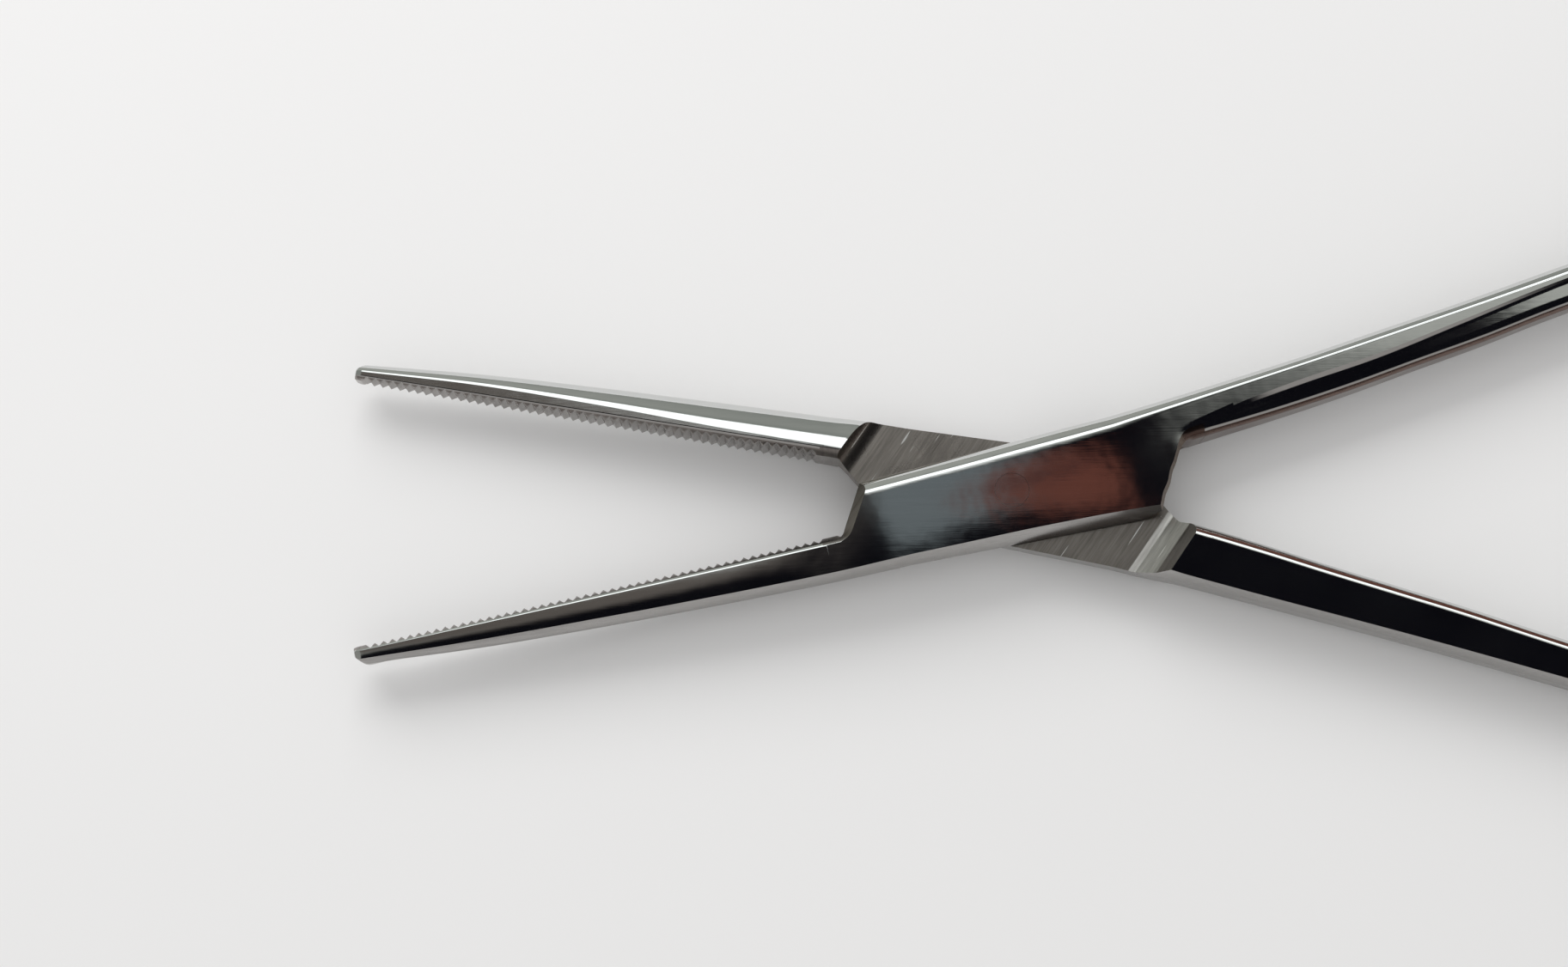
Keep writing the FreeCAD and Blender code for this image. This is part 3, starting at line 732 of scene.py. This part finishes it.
def wall_cutter(path, edge, wall, end, side, land_index=POLISHED, wall_index=GROUND):
    """What is cut away in front of a wall, in sheets from the front to the rear. Along the limb it follows
    the limb's own edge, which is a function of x, and on the wall the wall's own levels and insets."""
    edges = [edge(-end * abs(spot.x)) for spot, _, _ in path]
    sheets = []
    for k, (wall_level, wall_inset) in enumerate(wall):
        sheet = []
        for i, (spot, normal, share) in enumerate(path):
            land_level, land_inset = edges[i][k]
            p = spot - normal * (land_inset + (wall_inset - land_inset) * share)
            sheet.append((end * p.x, end * p.y, land_level + (wall_level - land_level) * share))
        for x in (path[-1][0].x, path[0][0].x):
            sheet.append((end * x, end * CUTTER_REACH, wall_level))
        sheets.append(sheet)
    sheets += [[(x, w, -z) for x, w, z in sheet] for sheet in reversed(sheets)]
    around = [wall_index if share > WALL_SHARE else land_index for _, _, share in path] + [wall_index] * 2
    return tube("wall_cutter", sheets, side, wall_index, around)


def recess_cutter(face):
    """What is ground away over the web: a scoop at the jaw, and a ramp and a steeper facet at the shank."""
    top = BOX_HALF + CUTTER_MARGIN
    profile = [(-(SCOOP_FOOT + SCOOP_RADIUS + SCOOP_LIP), top)]
    for i in range(SCOOP_STEPS, -1, -1):
        angle = math.radians(SCOOP_ARC * i / SCOOP_STEPS)
        profile.append((-(SCOOP_FOOT + SCOOP_RADIUS * math.sin(angle)),
                        WEB_HALF + SCOOP_RADIUS * (1 - math.cos(angle))))
    ramp = RAMP_RISE * math.tan(math.radians(RAMP_SLOPE))
    steep = (top - WEB_HALF - RAMP_RISE) * math.tan(math.radians(FACET_SLOPE))
    profile.append((SHOULDER_REACH - SHOULDER_EASE, WEB_HALF))
    profile.append((SHOULDER_REACH, WEB_HALF + SHOULDER_EASE_RISE))
    profile.append((SHOULDER_REACH + ramp, WEB_HALF + RAMP_RISE))
    profile.append((SHOULDER_REACH + ramp + steep, top))
    around = [GROUND] * (len(profile) - 4) + [RAMP, RAMP, RAMP, GROUND]
    turn = math.radians(SHOULDER_TURN)
    across = Vector((math.cos(turn), math.sin(turn)))
    along = Vector((-math.sin(turn), math.cos(turn)))
    rings = []
    for reach in (-RECESS_REACH, RECESS_REACH):
        ring = []
        for u, z in profile:
            p = across * u + along * reach
            ring.append((p.x, p.y, face * z))
        rings.append(ring)
    return tube("recess_cutter", rings, WEB_ARM, GROUND, around)


def circle(radius):
    points = []
    for i in range(CIRCLE_STEPS):
        angle = 2 * math.pi * i / CIRCLE_STEPS
        points.append((radius * math.cos(angle), radius * math.sin(angle)))
    return points


def slanted_plan(reach, slope, far):
    """The slot's outline in plan: a parallelogram with slanted ends."""
    run = far / math.tan(math.radians(slope))
    return [(-reach - run, far), (-reach + run, -far), (reach + run, -far), (reach - run, far)]


def make_ring(side):
    """The finger ring: an oval band with a rounded section."""
    mid_length = RING_HALF_LENGTH - RING_WALL / 2
    mid_width = RING_HALF_WIDTH - RING_WALL / 2
    around, across = RING_STEPS
    vertices, faces = [], []
    for i in range(around):
        a = 2 * math.pi * i / around
        centre = Vector((RING_X + mid_length * math.cos(a), side * RING_Y + mid_width * math.sin(a), 0))
        out = Vector((math.cos(a) / mid_length, math.sin(a) / mid_width, 0)).normalized()
        for j in range(across):
            b = 2 * math.pi * j / across
            rise = Vector((0, 0, RING_THICKNESS / 2 * math.sin(b)))
            vertices.append(centre + out * (RING_WALL / 2 * math.cos(b)) + rise)
    for i in range(around):
        for j in range(across):
            k, m = (i + 1) % around, (j + 1) % across
            faces.append((i * across + j, k * across + j, k * across + m, i * across + m))
    return new_object("ring", vertices, faces, [POLISHED] * len(faces))


def make_ratchet(side):
    """The ratchet bar, with saw teeth that face the other arm's bar across the mid-plane."""
    crest = RATCHET_PLAY / 2
    root = crest + RATCHET_TOOTH
    top = root + RATCHET_BAR
    end = -RATCHET_PAST_MIDDLE
    profile = [(RATCHET_INSIDE, top), (end + RATCHET_SOFT, top), (end, top - RATCHET_SOFT)]
    for tooth in range(RATCHET_TEETH):
        profile.append((end + tooth * RATCHET_PITCH, crest))
        profile.append((end + (tooth + 1) * RATCHET_PITCH, root))
    profile.append((RATCHET_INSIDE, root))
    low, high = RATCHET_X - RATCHET_WIDTH / 2, RATCHET_X + RATCHET_WIDTH / 2
    soft = RATCHET_END_SOFT
    rings = []
    for x, inset in ((low, soft), (low + soft, 0.0), (high - soft, 0.0), (high, soft)):
        ring = []
        for w, z in profile:
            ring.append((x, w, side * min(z, top - inset)))
        rings.append(ring)
    return tube("ratchet", rings, side)


def finish_arm(obj, side, name, materials):
    """Clean the joined skin, mark its sharp edges, open the arm and lift it to where the frame has it."""
    work = bmesh.new()
    work.from_mesh(obj.data)
    bmesh.ops.remove_doubles(work, verts=work.verts, dist=MERGE_DISTANCE)
    bmesh.ops.dissolve_degenerate(work, dist=DEGENERATE_DISTANCE, edges=work.edges)
    sharp = math.radians(SHARP_ANGLE)
    for edge in work.edges:
        edge.smooth = len(edge.link_faces) == 2 and edge.calc_face_angle(0.0) < sharp
    for face in work.faces:
        face.smooth = True
    work.to_mesh(obj.data)
    work.free()
    turn = Matrix.Rotation(math.radians(side * OPEN_HALF_ANGLE), 4, "Z")
    obj.data.transform(Matrix.Scale(MM, 4) @ Matrix.Translation((0, 0, BOX_HALF)) @ turn)
    obj.name = name
    obj.data.name = name
    for index in range(len(obj.data.materials)):
        obj.data.materials[index] = materials[min(index, len(materials) - 1)]
    weights = obj.modifiers.new("weighted_normals", "WEIGHTED_NORMAL")
    weights.keep_sharp = True
    weights.mode = "FACE_AREA"


def carry(skin, node_name, body):
    """Let a skin stand for its CAD node and ride on its body."""
    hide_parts(node_name)
    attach(skin, body)


def make_box_arm(materials):
    """Lower jaw in the photograph, the slotted box and the upper shank."""
    first = -(JAW_LENGTH - TOOTH_MARGIN - TOOTH_PITCH / 2)
    arm = make_limb(BOX_ARM, first, BOX_ARM_INNER)
    jaw_path = wall_path(lambda x: -JAW_RELIEF - CUT_CLEAR, -JAW_END - OVERLAP, WALL_REACH, 90 - WALL_TURN,
                         JAW_FILLET, 0.0)
    jaw_wall = wall_cutter(jaw_path, jaw_edge, nose_wall(JAW_WALL_BEVEL), 1, BOX_ARM, MILLED)
    combine(arm, jaw_wall, "DIFFERENCE")
    shank_path = wall_path(lambda x: -between(BOX_ARM_INNER, -x)[0] - CUT_CLEAR, -SHANK_START - OVERLAP,
                           SHANK_WALL_REACH, 90 - WALL_TURN, SHANK_FILLET, WALL_RIPPLE)
    # The shank wall and the land along it get dark brown steel, which is painted dark reflection.
    shank_wall = wall_cutter(shank_path, lambda x: shank_edge(x, BOX_ARM, BOX_ARM_INNER),
                             nose_wall(SHANK_WALL_BEVEL), -1, BOX_ARM, SHADED, PAINTED_DARK_WALL)
    combine(arm, shank_wall, "DIFFERENCE")
    slot = outline_block("slot_cutter", slanted_plan(SLOT_REACH, SLOT_SLOPE, SLOT_FAR),
                         -(WEB_HALF + SLOT_PLAY), WEB_HALF + SLOT_PLAY, BOX_ARM, DULL)
    combine(arm, slot, "DIFFERENCE")
    bore = outline_block("bore_cutter", circle(PIN_RADIUS + PIN_FIT), -BOX_HALF - CUTTER_MARGIN,
                         BOX_HALF + CUTTER_MARGIN, BOX_ARM, DULL)
    combine(arm, bore, "DIFFERENCE")
    combine(arm, make_ratchet(BOX_ARM), "UNION")
    combine(arm, make_ring(BOX_ARM), "UNION")
    finish_arm(arm, BOX_ARM, "box_arm_skin", materials)
    carry(arm, "box_arm", "box_half")


def make_web_arm(materials):
    """Upper jaw in the photograph, the ground web and the lower shank."""
    first = -(JAW_LENGTH - TOOTH_MARGIN)
    arm = make_limb(WEB_ARM, first, WEB_ARM_INNER)
    reach = WEB_REACH * math.sin(math.radians(WEB_SLOPE))
    upright = [(level, 0.0) for level in WALL_LEVELS]
    jaw_path = wall_path(lambda x: -JAW_RELIEF - CUT_CLEAR, -JAW_END - OVERLAP, reach, WEB_SLOPE,
                         WEB_FILLET, 0.0)
    combine(arm, wall_cutter(jaw_path, jaw_edge, upright, 1, WEB_ARM, MILLED), "DIFFERENCE")
    shank_path = wall_path(lambda x: -between(WEB_ARM_INNER, -x)[0] - CUT_CLEAR, -SHANK_START - OVERLAP,
                           reach, WEB_SLOPE, WEB_FILLET, 0.0)
    shank_wall = wall_cutter(shank_path, lambda x: shank_edge(x, WEB_ARM, WEB_ARM_INNER), upright, -1,
                             WEB_ARM)
    combine(arm, shank_wall, "DIFFERENCE")
    for face in (1, -1):
        combine(arm, recess_cutter(face), "DIFFERENCE")
    bore = outline_block("bore_cutter", circle(PIN_RADIUS + PIN_PLAY), -BOX_HALF, BOX_HALF, WEB_ARM, DULL)
    combine(arm, bore, "DIFFERENCE")
    combine(arm, make_ratchet(WEB_ARM), "UNION")
    combine(arm, make_ring(WEB_ARM), "UNION")
    finish_arm(arm, WEB_ARM, "web_arm_skin", materials)
    carry(arm, "web_arm", "web_half")


def make_pin(material):
    """The rivet pin. Its ends are ground flush with the box, so only a hairline shows around them."""
    arch = between(CROWN, 0.0)[0] / box_edge(0.0) ** 2
    edge_radius = PIN_END_RADII[-1]
    rings = []
    for end in (-1, 1):
        made = []
        for radius in PIN_END_RADII:
            made.append([(x, w, end * (SKIN_HALF - arch * w * w)) for x, w in circle(radius)])
        made.append([(x * PIN_RADIUS / edge_radius, w * PIN_RADIUS / edge_radius, z - end * PIN_EDGE_BREAK)
                     for x, w, z in made[-1]])
        rings += made if end < 0 else made[::-1]
    pin = tube("pin", rings)
    finish_arm(pin, BOX_ARM, "lock_pin_skin", [material])
    carry(pin, "lock_pin", "box_half")


def node(tree, kind, **inputs):
    """Add a shader node and set its unlinked inputs."""
    made = tree.nodes.new(kind)
    for key, value in inputs.items():
        made.inputs[key.replace("_", " ")].default_value = value
    return made


def colour_mix(tree, factor, first, second):
    """Mix two colours, each a plain colour or another node's output, and return the mix's output."""
    made = tree.nodes.new("ShaderNodeMix")
    made.data_type = "RGBA"
    tree.links.new(factor, made.inputs["Factor"])
    for key, colour in (("A", first), ("B", second)):
        if isinstance(colour, tuple):
            made.inputs[key].default_value = colour
        else:
            tree.links.new(colour, made.inputs[key])
    return made.outputs["Result"]


# Slow drift of a finish over the steel: its scale per metre, the range of noise that it uses, and the
# shares of a finish's roughness at that range's ends
DRIFT_SCALE = 160.0
DRIFT_RANGE = (0.3, 0.7)
ROUGHNESS_SHARES = (0.7, 1.4)
# Scratches: the range of noise that changes their colour, and their depth in millimetres
SCRATCH_RANGE = (0.35, 0.65)
SCRATCH_DEPTH = 0.01
# The short bright nicks of grinding: their scale against the scratches, how rare they are, how soft their
# ends are, and their colour
NICK_SCALE = 0.9
NICK_START = 0.74
NICK_BLUR = 0.03
NICK_COLOUR = (0.95, 0.94, 0.92, 1)


def steel(name, colour, roughness, wave=0.0, grain=(0.004, 0.0012, 0.0012), grain_turn=0.0, grain_depth=0.3,
          shade=0.0, nicks=0.0):
    """Stainless steel. Wave is the height in millimetres of the slow unevenness left by hand polishing.
    Grain is the size in metres of its scratches along each axis, turned by grain_turn, grain_depth is their
    strength, and shade is how much they change the colour. Nicks is how strongly bright nicks show.
    Roughness drifts a little over the surface."""
    material = bpy.data.materials.new(name)
    material.use_nodes = True
    tree = material.node_tree
    shader = tree.nodes["Principled BSDF"]
    shader.inputs["Metallic"].default_value = 1.0
    place = tree.nodes.new("ShaderNodeTexCoord")
    mapping = tree.nodes.new("ShaderNodeMapping")
    mapping.vector_type = "TEXTURE"
    mapping.inputs["Rotation"].default_value = (0, 0, math.radians(grain_turn))
    mapping.inputs["Scale"].default_value = grain
    tree.links.new(place.outputs["Object"], mapping.inputs["Vector"])
    lines = node(tree, "ShaderNodeTexNoise", Scale=1.0, Detail=5.0, Roughness=0.75)
    tree.links.new(mapping.outputs["Vector"], lines.inputs["Vector"])
    drift = node(tree, "ShaderNodeTexNoise", Scale=DRIFT_SCALE, Detail=3.0)
    tree.links.new(place.outputs["Object"], drift.inputs["Vector"])

    rough = node(tree, "ShaderNodeMapRange", From_Min=DRIFT_RANGE[0], From_Max=DRIFT_RANGE[1],
                 To_Min=roughness * ROUGHNESS_SHARES[0], To_Max=roughness * ROUGHNESS_SHARES[1])
    tree.links.new(drift.outputs["Fac"], rough.inputs["Value"])
    tree.links.new(rough.outputs["Result"], shader.inputs["Roughness"])

    contrast = node(tree, "ShaderNodeMapRange", From_Min=SCRATCH_RANGE[0], From_Max=SCRATCH_RANGE[1])
    tree.links.new(lines.outputs["Fac"], contrast.inputs["Value"])
    darker = (*[c * (1 - shade) for c in colour], 1)
    lighter = (*[min(1.0, c * (1 + shade)) for c in colour], 1)
    surface = colour_mix(tree, contrast.outputs["Result"], darker, lighter)
    if nicks:
        cuts = node(tree, "ShaderNodeTexNoise", Scale=NICK_SCALE, Detail=1.0)
        tree.links.new(mapping.outputs["Vector"], cuts.inputs["Vector"])
        bright = node(tree, "ShaderNodeMapRange", From_Min=NICK_START, From_Max=NICK_START + NICK_BLUR,
                      To_Max=nicks)
        tree.links.new(cuts.outputs["Fac"], bright.inputs["Value"])
        surface = colour_mix(tree, bright.outputs["Result"], surface, NICK_COLOUR)
    tree.links.new(surface, shader.inputs["Base Color"])

    slow = node(tree, "ShaderNodeBump", Strength=1.0, Distance=wave * MM)
    tree.links.new(drift.outputs["Fac"], slow.inputs["Height"])
    fine = node(tree, "ShaderNodeBump", Strength=grain_depth, Distance=SCRATCH_DEPTH * MM)
    tree.links.new(lines.outputs["Fac"], fine.inputs["Height"])
    tree.links.new(slow.outputs["Normal"], fine.inputs["Normal"])
    tree.links.new(fine.outputs["Normal"], shader.inputs["Normal"])
    return material


def make_materials():
    """The finishes of an arm, in the order of their indices, and the pin's."""
    polished = steel("polished_steel", (0.66, 0.67, 0.66), 0.05, wave=0.02, grain=(0.006, 0.0003, 0.0003),
                     grain_depth=0.12, shade=0.03)
    ground = steel("ground_steel", (0.29, 0.265, 0.24), 0.27, grain=(0.00020, 0.0045, 0.0022),
                   grain_turn=-36.4, grain_depth=0.5, shade=0.22, nicks=0.8)
    dull = steel("dull_steel", (0.30, 0.29, 0.28), 0.40, grain=(0.001, 0.001, 0.001), shade=0.1)
    milled = steel("milled_steel", (0.34, 0.32, 0.305), 0.26, grain=(0.0003, 0.002, 0.002), grain_depth=0.5,
                   shade=0.15)
    # Painted dark reflection: the wall's steel is dark brown, so it does not mirror the bright floor.
    painted_dark_wall = steel("painted_dark_wall_steel", (0.17, 0.135, 0.11), 0.34, grain=(0.0003, 0.0003, 0.003), grain_depth=0.6,
                  shade=0.2)
    # Painted dark reflection: this steel is brown-grey, so the shank's low side does not mirror the bright
    # floor.
    shaded = steel("shaded_steel", (0.15, 0.105, 0.09), 0.20, grain=(0.005, 0.0003, 0.0003),
                   grain_depth=0.4, shade=0.15)
    ramp = steel("ramp_steel", (0.50, 0.485, 0.46), 0.30, grain=(0.00025, 0.0045, 0.0022),
                 grain_turn=-36.4, grain_depth=1.0, shade=0.2, nicks=0.8)
    brushed = steel("brushed_steel", (0.38, 0.37, 0.36), 0.24, grain=(0.005, 0.0002, 0.0002),
                    grain_depth=0.5, shade=0.08)
    pin = steel("pin_steel", (0.65, 0.66, 0.65), 0.055, wave=0.02, grain=(0.006, 0.0003, 0.0003),
                grain_depth=0.12, shade=0.03)
    return [polished, ground, dull, milled, brushed, painted_dark_wall, ramp, shaded], pin


def make_floor():
    size = FLOOR_HALF_SIZE
    mesh = bpy.data.meshes.new("floor")
    corners = [(-size, -size, 0), (size, -size, 0), (size, size, 0), (-size, size, 0)]
    mesh.from_pydata(corners, [], [(0, 1, 2, 3)])
    floor = bpy.data.objects.new("floor", mesh)
    bpy.context.scene.collection.objects.link(floor)
    material = bpy.data.materials.new("pale_floor")
    material.use_nodes = True
    shader = material.node_tree.nodes["Principled BSDF"]
    shader.inputs["Base Color"].default_value = FLOOR_COLOUR
    shader.inputs["Roughness"].default_value = FLOOR_ROUGHNESS
    mesh.materials.append(material)


# The room that the steel mirrors, drawn on the directions of mirror rays: x to the right and y to the
# back, both as parts of a unit direction. Each patch has its centre, half sizes, turn, blur and colour.
ROOM_FRONT = (0.33, 0.31, 0.30)
ROOM_BACK = (0.27, 0.285, 0.265)
ROOM_PATCHES = [
    ("far_wall", (-0.55, 0.90), (0.60, 0.32), 0.0, 0.3, (0.42, 0.43, 0.40)),
    ("window", (0.28, 0.50), (0.52, 0.16), 0.0, 0.16, (1.9, 1.95, 1.95)),
    ("window_bar", (0.30, 0.455), (0.60, 0.022), 0.0, 0.5, (0.20, 0.22, 0.22)),
    ("side_window", (-0.09, 0.40), (0.19, 0.16), -10.0, 0.35, (1.7, 1.75, 1.75)),
    ("dark_figure", (0.25, -0.22), (0.65, 0.50), 0.0, 0.06, (0.004, 0.004, 0.006)),
    ("panel", (0.42, 0.300), (0.215, 0.062), 18.0, 0.25, (0.48, 0.49, 0.46)),
    ("slate", (0.036, 0.188), (0.060, 0.058), 15.0, 0.30, (0.155, 0.178, 0.190)),
    ("hand", (0.108, 0.176), (0.032, 0.045), 30.0, 0.35, (0.150, 0.052, 0.038)),
    ("knuckle", (0.098, 0.192), (0.022, 0.004), 12.0, 0.8, (0.035, 0.018, 0.020)),
    ("sleeve", (-0.20, 0.20), (0.14, 0.07), 0.0, 0.5, (0.125, 0.11, 0.10)),
    ("cabinet", (0.52, 0.80), (0.20, 0.16), 0.0, 0.4, (0.14, 0.06, 0.045)),
    ("chair", (0.55, -0.95), (0.25, 0.10), 0.0, 0.3, (0.20, 0.11, 0.09)),
]
# Where the room's front colour passes into its back colour, and a scale so large that a direction's height
# doesn't count in a patch
ROOM_DEPTH = (-0.5, 0.4)
ANY_HEIGHT = 1000
# How far a slow and a fine unevenness shift the room's directions, and their scales
ROOM_WARP = 0.05
ROOM_WARP_SCALE = 7.0
FINE_WARP = 0.006
FINE_WARP_SCALE = 34.0


def room_directions(tree):
    """The directions of mirror rays, shifted by a slow and a fine unevenness."""
    place = tree.nodes.new("ShaderNodeTexCoord")
    shift = None
    for size, scale in ((ROOM_WARP, ROOM_WARP_SCALE), (FINE_WARP, FINE_WARP_SCALE)):
        noise = node(tree, "ShaderNodeTexNoise", Scale=scale, Detail=2.0)
        tree.links.new(place.outputs["Generated"], noise.inputs["Vector"])
        moved = tree.nodes.new("ShaderNodeVectorMath")
        moved.operation = "MULTIPLY_ADD"
        moved.inputs[1].default_value = (size, size, 0)
        tree.links.new(noise.outputs["Color"], moved.inputs[0])
        if shift:
            tree.links.new(shift, moved.inputs[2])
        else:
            moved.inputs[2].default_value = (-size / 2, -size / 2, 0)
        shift = moved.outputs[0]
    warped = tree.nodes.new("ShaderNodeVectorMath")
    tree.links.new(place.outputs["Generated"], warped.inputs[0])
    tree.links.new(shift, warped.inputs[1])
    return warped.outputs[0]


def paint_patch(tree, directions, colour, patch):
    """Lay a patch over the room's colour."""
    name, centre, half_size, turn, blur, paint = patch
    scaled = tree.nodes.new("ShaderNodeMapping")
    scaled.name = name
    scaled.vector_type = "TEXTURE"
    scaled.inputs["Location"].default_value = (*centre, 0)
    scaled.inputs["Rotation"].default_value = (0, 0, math.radians(turn))
    scaled.inputs["Scale"].default_value = (*half_size, ANY_HEIGHT)
    tree.links.new(directions, scaled.inputs["Vector"])
    distance = tree.nodes.new("ShaderNodeVectorMath")
    distance.operation = "LENGTH"
    tree.links.new(scaled.outputs["Vector"], distance.inputs[0])
    inside = node(tree, "ShaderNodeMapRange", From_Min=1 - blur, From_Max=1 + blur, To_Min=1.0, To_Max=0.0)
    inside.interpolation_type = "SMOOTHSTEP"
    tree.links.new(distance.outputs["Value"], inside.inputs["Value"])
    return colour_mix(tree, inside.outputs["Result"], colour, (*paint, 1))


def make_world():
    """Even white light on everything, and for mirror rays a room with a window and a dark figure."""
    world = bpy.data.worlds.new("studio")
    bpy.context.scene.world = world
    world.use_nodes = True
    tree = world.node_tree
    tree.nodes.clear()
    directions = room_directions(tree)
    parts = tree.nodes.new("ShaderNodeSeparateXYZ")
    tree.links.new(directions, parts.inputs[0])
    depth = node(tree, "ShaderNodeMapRange", From_Min=ROOM_DEPTH[0], From_Max=ROOM_DEPTH[1])
    tree.links.new(parts.outputs["Y"], depth.inputs["Value"])
    colour = colour_mix(tree, depth.outputs["Result"], (*ROOM_FRONT, 1), (*ROOM_BACK, 1))
    for patch in ROOM_PATCHES:
        colour = paint_patch(tree, directions, colour, patch)
    room = node(tree, "ShaderNodeBackground", Strength=1.0)
    tree.links.new(colour, room.inputs["Color"])
    plain = node(tree, "ShaderNodeBackground", Color=(1.0, 1.0, 1.0, 1), Strength=PLAIN_LIGHT)
    path = tree.nodes.new("ShaderNodeLightPath")
    pick = tree.nodes.new("ShaderNodeMixShader")
    tree.links.new(path.outputs["Is Glossy Ray"], pick.inputs[0])
    tree.links.new(plain.outputs[0], pick.inputs[1])
    tree.links.new(room.outputs[0], pick.inputs[2])
    out = tree.nodes.new("ShaderNodeOutputWorld")
    tree.links.new(pick.outputs[0], out.inputs["Surface"])


def make_lamp():
    """A soft lamp that lights what is matt; mirror rays see the room instead."""
    data = bpy.data.lights.new("window_light", "AREA")
    data.shape = "RECTANGLE"
    data.size, data.size_y = LAMP_SIZE
    data.energy = LAMP_POWER
    data.specular_factor = 0.0
    lamp = bpy.data.objects.new("window_light", data)
    bpy.context.scene.collection.objects.link(lamp)
    lamp.location = LAMP_PLACE
    lamp.rotation_mode = "QUATERNION"
    lamp.rotation_quaternion = (-Vector(LAMP_PLACE)).to_track_quat("-Z", "Y")
    lamp.visible_glossy = False


bpy.context.scene.view_settings.view_transform = "Standard"
make_camera()
make_floor()
make_world()
make_lamp()
finishes, pin_steel = make_materials()
make_box_arm(finishes)
make_web_arm(finishes)
make_pin(pin_steel)
